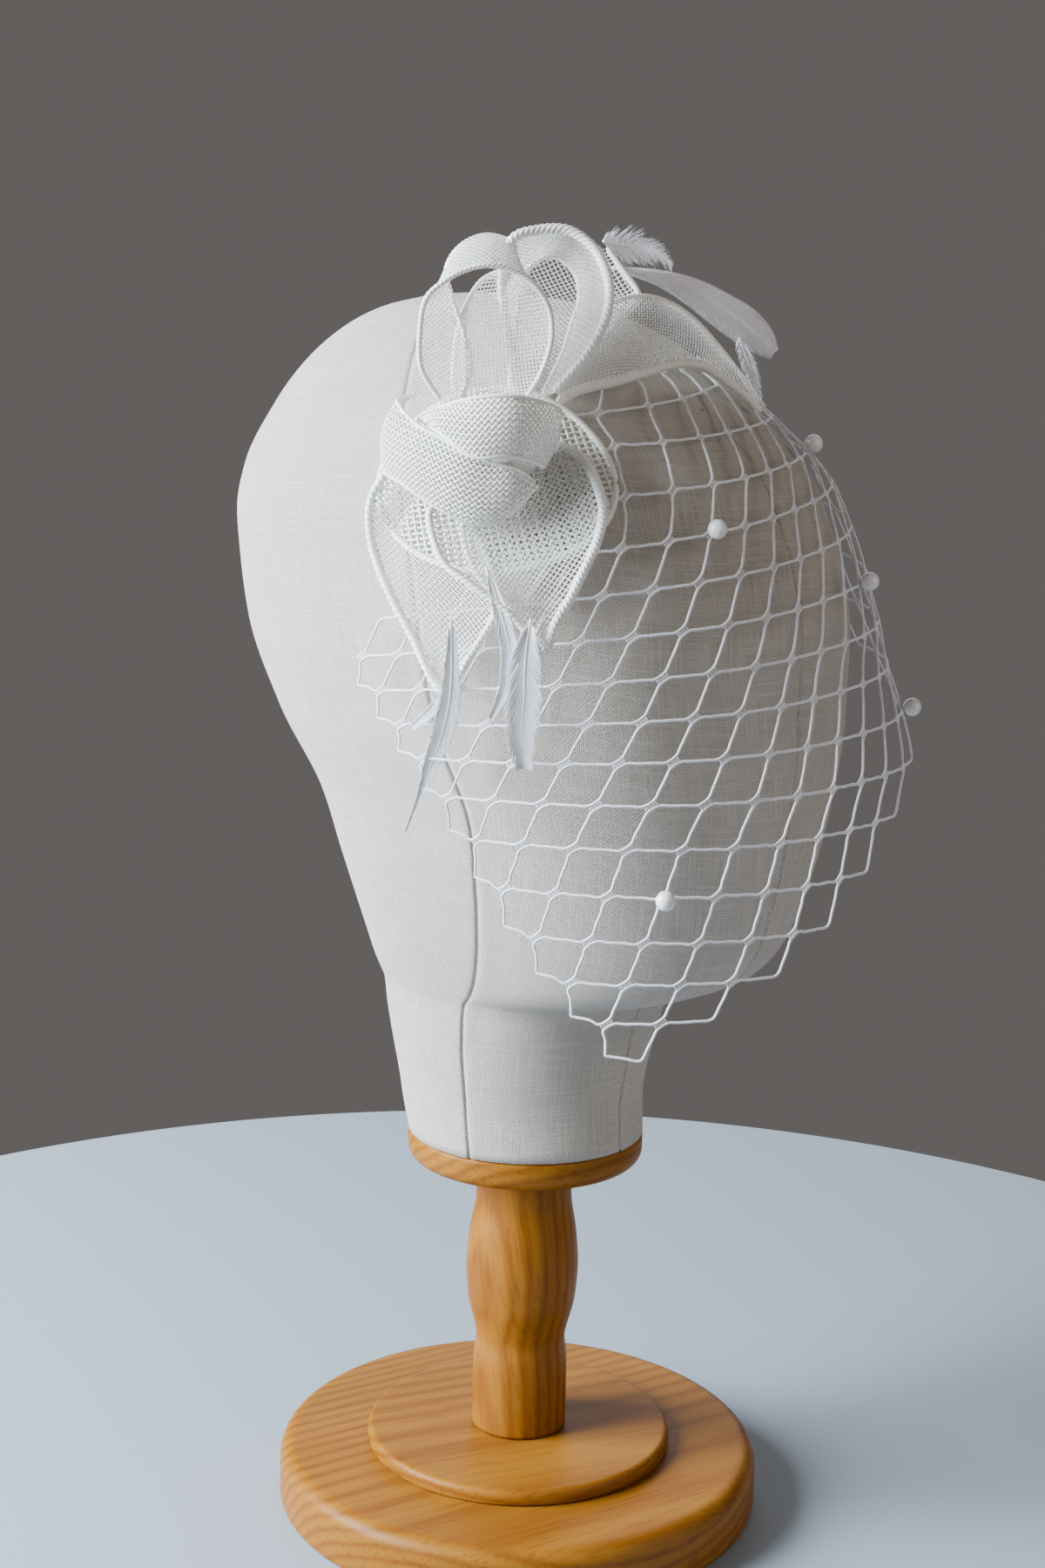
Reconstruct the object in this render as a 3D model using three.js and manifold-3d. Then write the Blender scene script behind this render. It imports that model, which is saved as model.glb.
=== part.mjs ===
// Birdcage veil on a display head form.
// A cornerwise piece of diamond net hangs from a sinamay bow with feathers, on a plain linen head
// form that stands on a turned wooden post and base. Millimetres, +Z up, the head faces -Y,
// and the origin is the middle of the base's underside.
import * as THREE from 'three';
import { mergeVertices } from 'three/addons/utils/BufferGeometryUtils.js';
import Module from 'manifold-3d';

const gap = 0.3;                 // clearance between pieces that touch
const up = new THREE.Vector3(0, 0, 1);

// ---------------------------------------------------------------- driving dimensions
const base = { radius: 75, thickness: 18, edge: 5 };
const step = { radius: 47.5, height: 4.5, edge: 2 };
const post = { foot: 14.8, groove: 13.9, bulge: 17.5, top: 14.9 };
const collar = { radius: 36.2, thickness: 9, edge: 4, top: 119.7 };
const head = { bottom: 120, height: 252, crownY: 18, around: 36 };
const net = { inside: 0.8, outside: 0.3, divisions: 2, firstRow: -3, lastRow: 13 };
const pearl = { radius: 2.6 };
const ribbon = { thickness: 1.0, across: 4, perStation: 2 };
const plume = { thickness: 0.8, across: 2, perStation: 2 };
const clearance = 0.35;          // what one bow piece leaves around the piece in front of it

// ---------------------------------------------------------------- materials
const finish = {
  wood: new THREE.MeshStandardMaterial({ name: 'wood', color: 0xc88a3c, roughness: 0.45, metalness: 0 }),
  linen: new THREE.MeshStandardMaterial({ name: 'linen', color: 0xd9d3c9, roughness: 0.95, metalness: 0 }),
  net: new THREE.MeshStandardMaterial({ name: 'net', color: 0xf2f2f7, roughness: 0.6, metalness: 0 }),
  sinamay: new THREE.MeshStandardMaterial({ name: 'sinamay', color: 0xf4f4f0, roughness: 0.7, metalness: 0 }),
  feather: new THREE.MeshStandardMaterial({ name: 'feather', color: 0xf6f6f8, roughness: 0.8, metalness: 0 }),
  pearl: new THREE.MeshStandardMaterial({ name: 'pearl', color: 0xf7f3ee, roughness: 0.25, metalness: 0 }),
};

const object = new THREE.Group();

function addPiece(name, geometry, material) {
  const mesh = new THREE.Mesh(geometry, material);
  mesh.name = name;
  object.add(mesh);
  return mesh;
}

// ---------------------------------------------------------------- general shapes

/** Monotone cubic through a table's rows: the value of one column at a height. */
function columnAt(rows, key, value, column) {
  const last = rows.length - 1;
  if (value <= rows[0][key]) return rows[0][column];
  if (value >= rows[last][key]) return rows[last][column];
  let i = 0;
  while (rows[i + 1][key] < value) i += 1;
  const slope = (k) => (rows[k + 1][column] - rows[k][column]) / (rows[k + 1][key] - rows[k][key]);
  const tangent = (k) => {
    if (k === 0) return slope(0);
    if (k === last) return slope(last - 1);
    const before = slope(k - 1);
    const after = slope(k);
    return before * after <= 0 ? 0 : (2 * before * after) / (before + after);
  };
  const span = rows[i + 1][key] - rows[i][key];
  const t = (value - rows[i][key]) / span;
  return rows[i][column] * (1 + 2 * t) * (1 - t) ** 2
    + tangent(i) * span * t * (1 - t) ** 2
    + rows[i + 1][column] * (3 - 2 * t) * t ** 2
    + tangent(i + 1) * span * (t - 1) * t ** 2;
}

/** A closed solid through rings of equal count, lowest first, each seen anticlockwise from above. */
function loft(rings, top) {
  const count = rings[0].length;
  const points = rings.flat();
  const middle = rings[0].reduce((sum, p) => sum.add(p), new THREE.Vector3()).divideScalar(count);
  const bottomIndex = points.push(middle) - 1;
  const topIndex = points.push(top) - 1;
  const index = [];
  for (let j = 0; j < count; j += 1) {
    const k = (j + 1) % count;
    index.push(bottomIndex, k, j);
    for (let i = 0; i < rings.length - 1; i += 1) {
      const a = i * count;
      const b = a + count;
      index.push(a + j, a + k, b + k, a + j, b + k, b + j);
    }
    const last = (rings.length - 1) * count;
    index.push(last + j, last + k, topIndex);
  }
  return new THREE.BufferGeometry().setFromPoints(points).setIndex(index);
}

/** A wall on a grid of points: every cell that `has` allows, `below` and `above` the surface. */
function wall(grid, below, above, has = () => true) {
  const rows = grid.length;
  const columns = grid[0].length;
  const clamp = (value, most) => Math.min(Math.max(value, 0), most);
  const points = [];
  const made = new Map();
  const corner = (i, j, side) => {
    const key = `${i},${j},${side}`;
    if (!made.has(key)) {
      const along = grid[clamp(i + 1, rows - 1)][j].clone().sub(grid[clamp(i - 1, rows - 1)][j]);
      const across = grid[i][clamp(j + 1, columns - 1)].clone().sub(grid[i][clamp(j - 1, columns - 1)]);
      const normal = across.cross(along).normalize();
      made.set(key, points.push(grid[i][j].clone().addScaledVector(normal, side ? above : -below)) - 1);
    }
    return made.get(key);
  };
  const cell = (i, j) => i >= 0 && j >= 0 && i < rows - 1 && j < columns - 1 && has(i, j);
  const index = [];
  const quad = (a, b, c, d) => index.push(a, b, c, a, c, d);
  const rim = (a, b) => quad(corner(...a, 0), corner(...b, 0), corner(...b, 1), corner(...a, 1));
  for (let i = 0; i < rows - 1; i += 1) {
    for (let j = 0; j < columns - 1; j += 1) {
      if (!cell(i, j)) continue;
      const round = [[i, j], [i, j + 1], [i + 1, j + 1], [i + 1, j]];
      quad(...round.map(([a, b]) => corner(a, b, 1)));
      quad(...round.map(([a, b]) => corner(a, b, 0)).reverse());
      if (!cell(i - 1, j)) rim(round[0], round[1]);
      if (!cell(i, j + 1)) rim(round[1], round[2]);
      if (!cell(i + 1, j)) rim(round[2], round[3]);
      if (!cell(i, j - 1)) rim(round[3], round[0]);
    }
  }
  return new THREE.BufferGeometry().setFromPoints(points).setIndex(index);
}

// ---------------------------------------------------------------- turned wooden stand

/** Turns a closed outline of [radius, height] points round the Z axis. */
function turned(outline, segments) {
  const geometry = new THREE.LatheGeometry(outline.map(([r, z]) => new THREE.Vector2(r, z)), segments);
  geometry.rotateX(Math.PI / 2);
  return geometry;
}

/** A quarter round from one height to another, bulging outward to `radius`. */
function quarterRound(radius, edge, height, fromBelow) {
  return [0, 1, 2, 3].map((k) => {
    const angle = (k / 3) * Math.PI / 2;
    const out = radius - edge + edge * (fromBelow ? Math.sin(angle) : Math.cos(angle));
    const rise = edge * (fromBelow ? 1 - Math.cos(angle) : Math.sin(angle) - 1);
    return [out, height + rise];
  });
}

const stepBottom = base.thickness + gap;
const postBottom = stepBottom + step.height + gap;
const collarBottom = collar.top - collar.thickness;
const postTop = collarBottom - gap;

addPiece('stand_base', turned([
  [0, 0],
  ...quarterRound(base.radius, base.edge / 2, 0, true),
  ...quarterRound(base.radius, base.edge, base.thickness, false),
  [0, base.thickness],
], 48), finish.wood);

addPiece('stand_step', turned([
  [0, stepBottom],
  [step.radius, stepBottom],
  ...quarterRound(step.radius, step.edge, stepBottom + step.height, false),
  [0, stepBottom + step.height],
], 40), finish.wood);

// The post's profile: share of its height, radius.
const postProfile = [
  { rise: 0, radius: post.foot },
  { rise: 0.1, radius: post.foot },
  { rise: 0.27, radius: post.foot - 0.2 },
  { rise: 0.33, radius: post.groove },
  { rise: 0.37, radius: post.groove + 0.6 },
  { rise: 0.48, radius: post.bulge - 0.7 },
  { rise: 0.6, radius: post.bulge },
  { rise: 0.72, radius: post.bulge - 0.8 },
  { rise: 0.86, radius: post.top },
  { rise: 1, radius: post.top },
];
addPiece('stand_post', turned([
  [0, postBottom],
  ...postProfile.map(({ rise, radius }) => [radius, postBottom + rise * (postTop - postBottom)]),
  [0, postTop],
], 32), finish.wood);

addPiece('neck_collar', turned([
  [0, collarBottom],
  ...quarterRound(collar.radius, collar.edge, collarBottom, true),
  [collar.radius, collar.top],
  [0, collar.top],
], 40), finish.wood);

// ---------------------------------------------------------------- linen head form

// Level sections of the head above its neck: how far the front, the back and each side reach,
// how square the section is (2 is an ellipse), and where its widest place lies. Front is -Y.
const headRows = [
  { height: 0, front: -36.2, back: 36.2, side: 36.2, power: 2, middle: 0 },
  { height: 13, front: -35.5, back: 39.5, side: 37, power: 2, middle: 1 },
  { height: 29, front: -37.5, back: 41.5, side: 39.5, power: 2.1, middle: 1 },
  { height: 41, front: -40, back: 42.5, side: 41.5, power: 2.2, middle: 0 },
  { height: 48, front: -44, back: 43, side: 43, power: 2.2, middle: -1 },
  { height: 52, front: -60, back: 43.3, side: 45, power: 2.3, middle: -2 },
  { height: 59, front: -74, back: 44.5, side: 48.5, power: 2.4, middle: -4.5 },
  { height: 70, front: -81.5, back: 47.5, side: 53.5, power: 2.4, middle: -8.5 },
  { height: 88, front: -86.5, back: 53, side: 60.5, power: 2.4, middle: -13 },
  { height: 107, front: -89.5, back: 59, side: 66.5, power: 2.4, middle: -15.25 },
  { height: 131, front: -91, back: 72.5, side: 74.5, power: 2.4, middle: -9.25 },
  { height: 156, front: -91, back: 84.5, side: 77.5, power: 2.4, middle: -3.25 },
  { height: 177, front: -87, back: 89, side: 77, power: 2.4, middle: 1 },
  { height: 188, front: -82.5, back: 90, side: 76.5, power: 2.4, middle: 3.75 },
  { height: 201, front: -76, back: 87.5, side: 74, power: 2.4, middle: 5.75 },
  { height: 219, front: -58, back: 77.5, side: 66, power: 2.4, middle: 9.75 },
  { height: 231, front: -43.5, back: 69, side: 57, power: 2.4, middle: 12.75 },
  { height: 241, front: -28, back: 59, side: 45, power: 2.4, middle: 15.5 },
  { height: 247, front: -13, back: 48, side: 34, power: 2.4, middle: 17.5 },
  { height: 250.5, front: 2, back: 37, side: 20, power: 2.4, middle: 19.5 },
];

/** A point round a level section: azimuth 0 is its front, and a quarter turn its right side, -X. */
function sectionPoint({ front, back, side, power, middle }, azimuth, height) {
  const c = Math.cos(azimuth);
  const s = Math.sin(azimuth);
  const reach = (Math.abs(c) ** power + Math.abs(s) ** power) ** (-1 / power);
  const half = c > 0 ? middle - front : back - middle;
  return new THREE.Vector3(-side * reach * s, middle - half * reach * c, head.bottom + height);
}

function headSection(height) {
  const read = (column) => columnAt(headRows, 'height', height, column);
  return {
    front: read('front'), back: read('back'), side: read('side'), power: read('power'), middle: read('middle'),
  };
}

function headForm(grow = 0) {
  const rings = [];
  headRows.forEach((row, i) => {
    const next = headRows[i + 1];
    const heights = [row.height];
    if (next && next.height - row.height > 10) heights.push((row.height + next.height) / 2);
    heights.forEach((height) => {
      const { front, back, side, power, middle } = headSection(height);
      const section = { front: front - grow, back: back + grow, side: side + grow, power, middle };
      rings.push(Array.from({ length: head.around }, (_, k) =>
        sectionPoint(section, -(k / head.around) * 2 * Math.PI, height)));
    });
  });
  return loft(rings, new THREE.Vector3(0, head.crownY, head.bottom + head.height + grow));
}
addPiece('head_form', headForm(), finish.linen);

// ---------------------------------------------------------------- diamond net

// How far the net stands off the head at a height above the neck. Below the cheeks it hangs
// from the widest of the face instead of following the jaw.
const standoffRows = [
  { height: 18, standoff: 22 },
  { height: 98, standoff: 22 },
  { height: 119, standoff: 21 },
  { height: 135, standoff: 16 },
  { height: 152, standoff: 10 },
  { height: 170, standoff: 7 },
  { height: 198, standoff: 5.5 },
  { height: 214, standoff: 4 },
  { height: 230, standoff: 1.6 },
];
const cheekHeight = 107;
const sideShare = 0.8;           // how much of the standoff the net has at the ears

// The net's strands: for one row of knots, the height of column 0, what each further column
// adds, the azimuth of column 0 in degrees, and the degrees between columns.
const strandRows = [
  { row: -3, height: 50, tilt: 0.8, azimuth: 57.7, pitch: 7.1 },
  { row: 0, height: 83.7, tilt: 0, azimuth: 51.3, pitch: 7.4 },
  { row: 3, height: 119.5, tilt: 0.3, azimuth: 43.8, pitch: 7.3 },
  { row: 6, height: 151.3, tilt: 1.2, azimuth: 33.9, pitch: 7.7 },
  { row: 9, height: 187.3, tilt: 1.9, azimuth: 23.2, pitch: 8 },
  { row: 11, height: 211.8, tilt: 1.4, azimuth: 16.4, pitch: 11 },
  { row: 12, height: 222, tilt: 2.2, azimuth: 12, pitch: 14 },
  { row: 13, height: 229, tilt: 1.2, azimuth: 9, pitch: 13.5 },
];
// The net is a rectangle cut cornerwise: two edges rise from the lowest corner as hems.
const cut = { nearHem: -1, farEdge: 18, farHem: 6, nearEdge: -15 };

/** A point over the head at a height and true azimuth, `lift` outside what the net follows. */
function overHead(height, azimuth, lift = 0) {
  const section = headSection(Math.max(height, cheekHeight));
  const standoff = columnAt(standoffRows, 'height', height, 'standoff');
  const side = section.side + standoff * sideShare + lift;
  const half = (section.back - section.front) / 2 + standoff + lift;
  const middle = (section.front + section.back) / 2;
  const turn = THREE.MathUtils.degToRad(azimuth);
  const right = Math.sin(turn);
  const ahead = Math.cos(turn);
  let inside = 0;
  let outside = 2 * (side + half);
  while (outside - inside > 1e-4) {
    const reach = (inside + outside) / 2;
    const place = Math.abs((reach * right) / side) ** section.power
      + Math.abs((reach * ahead + middle) / half) ** section.power;
    if (place < 1) inside = reach;
    else outside = reach;
  }
  return new THREE.Vector3(-inside * right, -inside * ahead, head.bottom + height);
}

function netPoint(row, column) {
  const read = (key) => columnAt(strandRows, 'row', row, key);
  return overHead(read('height') + read('tilt') * column, read('azimuth') - read('pitch') * column);
}

/** True where the cell with its lowest-numbered knot at (row, column) is part of the piece. */
function inCut(row, column) {
  return row + column >= cut.nearHem && row + column + 2 <= cut.farEdge
    && column + 1 - row <= cut.farHem && column - row - 1 >= cut.nearEdge;
}

const firstColumn = -10;
const lastColumn = 13;
function netWall(extra = 0) {
  const n = net.divisions;
  const grid = [];
  for (let i = 0; i <= (net.lastRow - net.firstRow) * n; i += 1) {
    const line = [];
    for (let j = 0; j <= (lastColumn - firstColumn) * n; j += 1) {
      line.push(netPoint(net.firstRow + i / n, firstColumn + j / n));
    }
    grid.push(line);
  }
  return wall(grid, net.inside + extra, net.outside + extra, (i, j) =>
    inCut(net.firstRow + Math.floor(i / n), firstColumn + Math.floor(j / n)));
}
addPiece('veil_net', netWall(), finish.net);

// Pearls sewn on knots of the net.
const pearlKnots = [
  { row: 9, column: 0 },
  { row: 1, column: 2 },
  { row: 7, column: 6 },
  { row: 4, column: 9 },
  { row: 10, column: 5 },
];
function netNormal(row, column) {
  const here = netPoint(row, column);
  const right = netPoint(row, column + 0.5).sub(here);
  const above = netPoint(row + 0.5, column).sub(here);
  return right.cross(above).normalize();
}
pearlKnots.forEach(({ row, column }, i) => {
  const ball = new THREE.SphereGeometry(pearl.radius, 12, 7);
  ball.translate(...netPoint(row, column)
    .addScaledVector(netNormal(row, column), net.outside + gap + pearl.radius).toArray());
  addPiece(`pearl_${i + 1}`, ball, finish.pearl);
});

// ---------------------------------------------------------------- sinamay bow and feathers

// The bow's own frame: right, up and out from the head at the middle of the knot.
const bow = { middle: new THREE.Vector3(-65, -32, 327), turn: THREE.MathUtils.degToRad(-52) };
const bowRight = new THREE.Vector3(Math.cos(bow.turn), Math.sin(bow.turn), 0);
const bowOut = new THREE.Vector3().crossVectors(bowRight, up);

function bowPoint([right, rise, out]) {
  return bow.middle.clone().addScaledVector(bowRight, right)
    .addScaledVector(up, rise).addScaledVector(bowOut, out);
}

// Each strip as sections along its length: both edges as right, up and out in the bow's frame.
// cup is how far its middle is bowed out from the line between the edges.
const strips = [
  {
    name: 'bow_knot_upper', cup: 1.5,
    sections: [
      { near: [-16, 9, 15], far: [-15.5, 7, 15] },
      { near: [-10, 11.5, 27], far: [-11, 4.5, 28] },
      { near: [-2, 13.5, 33], far: [-2.5, -1, 33] },
      { near: [6.5, 14, 34], far: [5, -0.5, 33] },
      { near: [13, 13, 30], far: [10, -1, 30] },
      { near: [18.5, 11, 21], far: [14.5, -3, 23] },
      { near: [18, 9, 13], far: [14, -3.5, 15] },
    ],
  },
  {
    name: 'bow_knot_lower', cup: 2,
    sections: [
      { near: [-18.5, 14, 3], far: [-25, 4.5, 1] },
      { near: [-23, 12.5, 12], far: [-26.5, -5, 9] },
      { near: [-17.5, 6.5, 20], far: [-21, -8.5, 17] },
      { near: [-11.5, 3.5, 24], far: [-15.5, -12, 21] },
      { near: [-5, 0, 27], far: [-9, -15.5, 23] },
      { near: [1.5, -2.5, 27], far: [-2, -18, 23] },
      { near: [7.5, -4, 26], far: [5.5, -16, 22] },
      { near: [12, -6.5, 20], far: [13, -8.5, 19] },
    ],
  },
  {
    name: 'bow_crown_loop', cup: 0.5,
    sections: [
      { near: [-7, 13, 8], far: [-11.5, 12.5, 18] },
      { near: [-4.5, 21, 4], far: [-16.5, 20.5, 20] },
      { near: [-6.5, 30, 2], far: [-17, 29, 21] },
      { near: [-9.5, 38, 1], far: [-15.5, 37.5, 22] },
      { near: [-11.5, 46, 0], far: [-11.5, 41.5, 22] },
      { near: [-8, 52, 0], far: [-6.5, 44.5, 22] },
      { near: [-1, 55, -1], far: [0, 46, 22] },
      { near: [6, 52.5, -1], far: [6.5, 44.5, 21] },
      { near: [4, 47.5, -2], far: [11, 42, 20] },
      { near: [-2.5, 43.5, -2], far: [15, 36.5, 17] },
      { near: [-7, 35.5, 0], far: [16, 29, 15] },
      { near: [-9, 25.5, 3], far: [13.5, 20, 14] },
      { near: [-9, 15.5, 6], far: [10, 14, 14] },
    ],
  },
  {
    name: 'bow_right_leaf', cup: 3,
    sections: [
      { near: [-12, -12, 17], far: [18, 2.5, 9] },
      { near: [-14, -15.5, 20], far: [24.5, -1, 14] },
      { near: [-12.5, -22.5, 24], far: [28.5, -8, 18] },
      { near: [-9.5, -28, 27], far: [30, -14.5, 20] },
      { near: [-3, -32.5, 30], far: [28.5, -22, 24] },
      { near: [2.5, -36, 31], far: [25.5, -28.5, 27] },
      { near: [8, -40.5, 32], far: [22, -36, 29] },
      { near: [13, -46.5, 32], far: [18.5, -42, 31] },
      { near: [15, -50, 32], far: [16.5, -49, 32] },
    ],
  },
  {
    name: 'bow_left_leaf', cup: 2,
    sections: [
      { near: [-23.5, -2.5, 5], far: [-8.5, -9, 11] },
      { near: [-30, -13, 3], far: [-4, -17.5, 13] },
      { near: [-30, -23.5, 3], far: [0.5, -26, 17] },
      { near: [-27.5, -31, 6], far: [3.5, -34.5, 22] },
      { near: [-23.5, -39, 10], far: [3, -41, 23] },
      { near: [-18, -48, 14], far: [-1, -48.5, 23] },
      { near: [-13, -57.5, 18], far: [-5.5, -56.5, 21] },
      { near: [-9.5, -62, 20], far: [-8, -61.5, 20] },
    ],
  },
  {
    name: 'bow_side_loop', cup: 0.5,
    sections: [
      { near: [5.5, 11.5, -4], far: [8.5, 14.5, 6] },
      { near: [6, 27.5, -13], far: [4.5, 31, 4] },
      { near: [7.5, 41, -18], far: [3, 45.5, 3] },
      { near: [9.5, 48, -20], far: [5.5, 54, 2] },
      { near: [14.5, 51.5, -21], far: [12, 56.5, 1] },
      { near: [19, 50.5, -21], far: [20, 56.5, 1] },
      { near: [22.5, 46.5, -20], far: [26.5, 52, 2] },
      { near: [23.5, 40.5, -18], far: [30, 45, 4] },
      { near: [21.5, 33.5, -14], far: [30.5, 38, 6] },
      { near: [19.5, 26.5, -9], far: [28, 30, 8] },
      { near: [16.5, 19.5, -4], far: [23, 22, 9] },
      { near: [14, 14.5, -1], far: [17, 15.5, 9] },
    ],
  },
  {
    name: 'bow_brow_leaf', cup: 2,
    sections: [
      { near: [20, 18.5, -10], far: [18, 13.5, 2] },
      { near: [24, 28, -20], far: [24, 16.5, -4] },
      { near: [31.5, 39.5, -30], far: [33.5, 19, -11] },
      { near: [40.5, 42.5, -36], far: [42.5, 22, -20] },
      { near: [48, 41.5, -41], far: [51, 24.5, -29] },
      { near: [55.5, 37.5, -45], far: [58.5, 24, -36] },
      { near: [63.5, 30, -49], far: [65, 20.5, -43] },
      { near: [70.5, 22, -52], far: [70.5, 17, -48] },
      { near: [77, 13.5, -55], far: [76.5, 12, -54] },
    ],
  },
  {
    name: 'bow_inner_leaf', cup: 1.5,
    sections: [
      { near: [-3, -9, 12], far: [16, -1.5, 6] },
      { near: [-5.5, -17.5, 15], far: [17.5, -10.5, 10.5] },
      { near: [-4, -26, 18], far: [18, -19.5, 14] },
      { near: [1, -33.5, 24], far: [16, -28, 20] },
      { near: [8.5, -39, 27], far: [11.5, -36.5, 26] },
    ],
  },
  {
    name: 'bow_back_leaf', cup: -2,
    sections: [
      { near: [9.5, 16, -7], far: [20, 17, -7] },
      { near: [5.5, 27.5, -17], far: [29.5, 28.5, -19] },
      { near: [5.5, 42, -26], far: [35, 36, -30] },
      { near: [8.5, 51.5, -33], far: [40, 42.5, -37] },
      { near: [17, 55, -36], far: [35.5, 49.5, -39] },
      { near: [26.5, 57.5, -38], far: [31, 55.5, -40] },
    ],
  },
];
const plumes = [
  {
    name: 'feather_brow', cup: 1,
    sections: [
      { near: [32, 50.5, -40], far: [32.5, 49.5, -40] },
      { near: [41, 50.5, -43], far: [40.5, 47.5, -43] },
      { near: [49, 50, -48], far: [47.5, 45, -47] },
      { near: [58.5, 48, -53], far: [54.5, 41, -51] },
      { near: [67, 44.5, -56], far: [61, 36.5, -54] },
      { near: [74.5, 40.5, -59], far: [68, 32, -57] },
      { near: [80, 35, -62], far: [74.5, 28.5, -60] },
      { near: [82, 30, -63], far: [79.5, 27, -62] },
    ],
  },
  {
    name: 'feather_tuft', cup: 1,
    sections: [
      { near: [28.5, 60, -42], far: [30.5, 54.5, -42] },
      { near: [34.5, 61, -44], far: [35, 52, -44] },
      { near: [41, 60, -46], far: [40.5, 52, -46] },
      { near: [46, 57.5, -47], far: [45.5, 52, -47] },
      { near: [50, 52.5, -48], far: [49.5, 51, -48] },
    ],
  },
  {
    name: 'feather_wisp', cup: 0.5,
    sections: [
      { near: [68, 33, -56], far: [72, 32, -56] },
      { near: [72, 23, -58], far: [76, 23.5, -58] },
      { near: [76.5, 13, -60], far: [78, 13.5, -60] },
    ],
  },
  {
    name: 'feather_long', cup: 0.5,
    sections: [
      { near: [-8.5, -41.5, 27], far: [-7, -41.5, 27] },
      { near: [-9, -50, 25], far: [-6, -50, 25] },
      { near: [-10.5, -61.5, 23], far: [-5, -61.5, 23] },
      { near: [-12.5, -71, 21], far: [-6.5, -71.5, 21] },
      { near: [-14.5, -79.5, 19], far: [-10, -80, 19] },
      { near: [-16.5, -89.5, 17], far: [-15, -90, 17] },
      { near: [-19.5, -99.5, 14], far: [-19, -99.5, 14] },
    ],
  },
  {
    name: 'feather_curl', cup: 0.5,
    sections: [
      { near: [-10, -59.5, 21.5], far: [-8.5, -62.5, 21.5] },
      { near: [-13.5, -65, 20], far: [-12, -67.5, 20] },
      { near: [-18, -70, 17], far: [-17.5, -72, 17] },
    ],
  },
  {
    name: 'feather_drop', cup: 0.5,
    sections: [
      { near: [0.5, -27.5, 30], far: [1.5, -28.5, 30] },
      { near: [2.5, -38, 32.5], far: [6.5, -38, 32.5] },
      { near: [5, -49, 33.5], far: [9.5, -48.5, 33.5] },
      { near: [4.5, -58.5, 33.5], far: [8, -58.5, 33.5] },
      { near: [2, -66, 33], far: [3.5, -66.5, 33] },
    ],
  },
  {
    name: 'feather_broad', cup: 1,
    sections: [
      { near: [12, -40.5, 33.5], far: [13, -40.5, 33.5] },
      { near: [9.5, -45.5, 34.5], far: [14, -45, 34.5] },
      { near: [7, -52.5, 35], far: [15.5, -52, 35] },
      { near: [6.5, -61, 35], far: [16, -60.5, 35] },
      { near: [6.5, -68.5, 34.5], far: [15, -69, 34.5] },
      { near: [8, -75, 34], far: [14.5, -75, 34] },
      { near: [9.5, -79, 33.5], far: [14, -79, 33.5] },
    ],
  },
];

/** A strip's wall, grown all round by `grow` where it serves to cut another piece clear of it. */
function stripWall({ sections, cup }, { thickness, across, perStation }, grow = 0) {
  const edge = (side) => new THREE.CatmullRomCurve3(sections.map((s) => bowPoint(s[side])));
  const near = edge('near');
  const far = edge('far');
  const steps = (sections.length - 1) * perStation;
  const grid = [];
  for (let i = 0; i <= steps; i += 1) {
    const t = i / steps;
    const a = near.getPoint(t);
    const b = far.getPoint(t);
    const width = b.clone().sub(a);
    const along = near.getTangent(t).add(far.getTangent(t));
    const normal = width.clone().cross(along).normalize();
    const side = width.clone().normalize();
    a.addScaledVector(side, -grow);
    b.addScaledVector(side, grow);
    const ends = i === 0 ? -grow : (i === steps ? grow : 0);
    along.normalize();
    grid.push(Array.from({ length: across + 1 }, (_, j) => {
      const u = j / across;
      return a.clone().lerp(b, u)
        .addScaledVector(normal, cup * 4 * u * (1 - u))
        .addScaledVector(along, ends);
    }));
  }
  return wall(grid, thickness / 2 + grow, thickness / 2 + grow);
}

const wasm = await Module();
wasm.setup();

function toSolid(geometry) {
  return new wasm.Manifold(new wasm.Mesh({
    numProp: 3,
    vertProperties: new Float32Array(geometry.getAttribute('position').array),
    triVerts: new Uint32Array(geometry.index.array),
  }));
}

/** Positions only, with shared vertices merged. */
function welded(geometry) {
  const bare = new THREE.BufferGeometry();
  bare.setAttribute('position', geometry.getAttribute('position'));
  bare.setIndex(geometry.index);
  return mergeVertices(bare);
}

/** The largest single body of a solid, as three.js geometry. */
function toGeometry(solid) {
  const whole = solid.decompose().sort((a, b) => b.volume() - a.volume())[0];
  const { vertProperties, triVerts } = whole.getMesh();
  const geometry = new THREE.BufferGeometry();
  geometry.setAttribute('position', new THREE.BufferAttribute(vertProperties, 3));
  return geometry.setIndex([...triVerts]);
}

// Front pieces come first: each later piece is cut clear of all before it.
const keepClear = [toSolid(netWall(clearance)), toSolid(headForm(clearance))];
function addClear(name, geometry, grown, material) {
  const cleared = keepClear.reduce((solid, other) => solid.subtract(other), toSolid(geometry));
  addPiece(name, toGeometry(cleared), material);
  keepClear.push(toSolid(grown));
}
strips.forEach((strip) => {
  addClear(strip.name, stripWall(strip, ribbon), stripWall(strip, ribbon, clearance), finish.sinamay);
});
plumes.forEach((feather) => {
  addClear(feather.name, stripWall(feather, plume), stripWall(feather, plume, clearance), finish.feather);
});

// The gathered strip ends behind the knot, and the rounded base under the bow that everything
// is sewn to.
const core = { middle: [1, 3, 18], radii: [15, 11, 10.5] };
function gatheredEnds(grow = 0) {
  const [right, rise, out] = core.radii.map((radius) => radius + grow);
  const ball = new THREE.SphereGeometry(1, 16, 10);
  ball.scale(right, rise, out);
  ball.rotateX(Math.PI / 2);
  ball.rotateZ(bow.turn);
  ball.translate(...bowPoint(core.middle).toArray());
  return welded(ball);
}
addClear('bow_core', gatheredEnds(), gatheredEnds(clearance), finish.sinamay);

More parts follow.
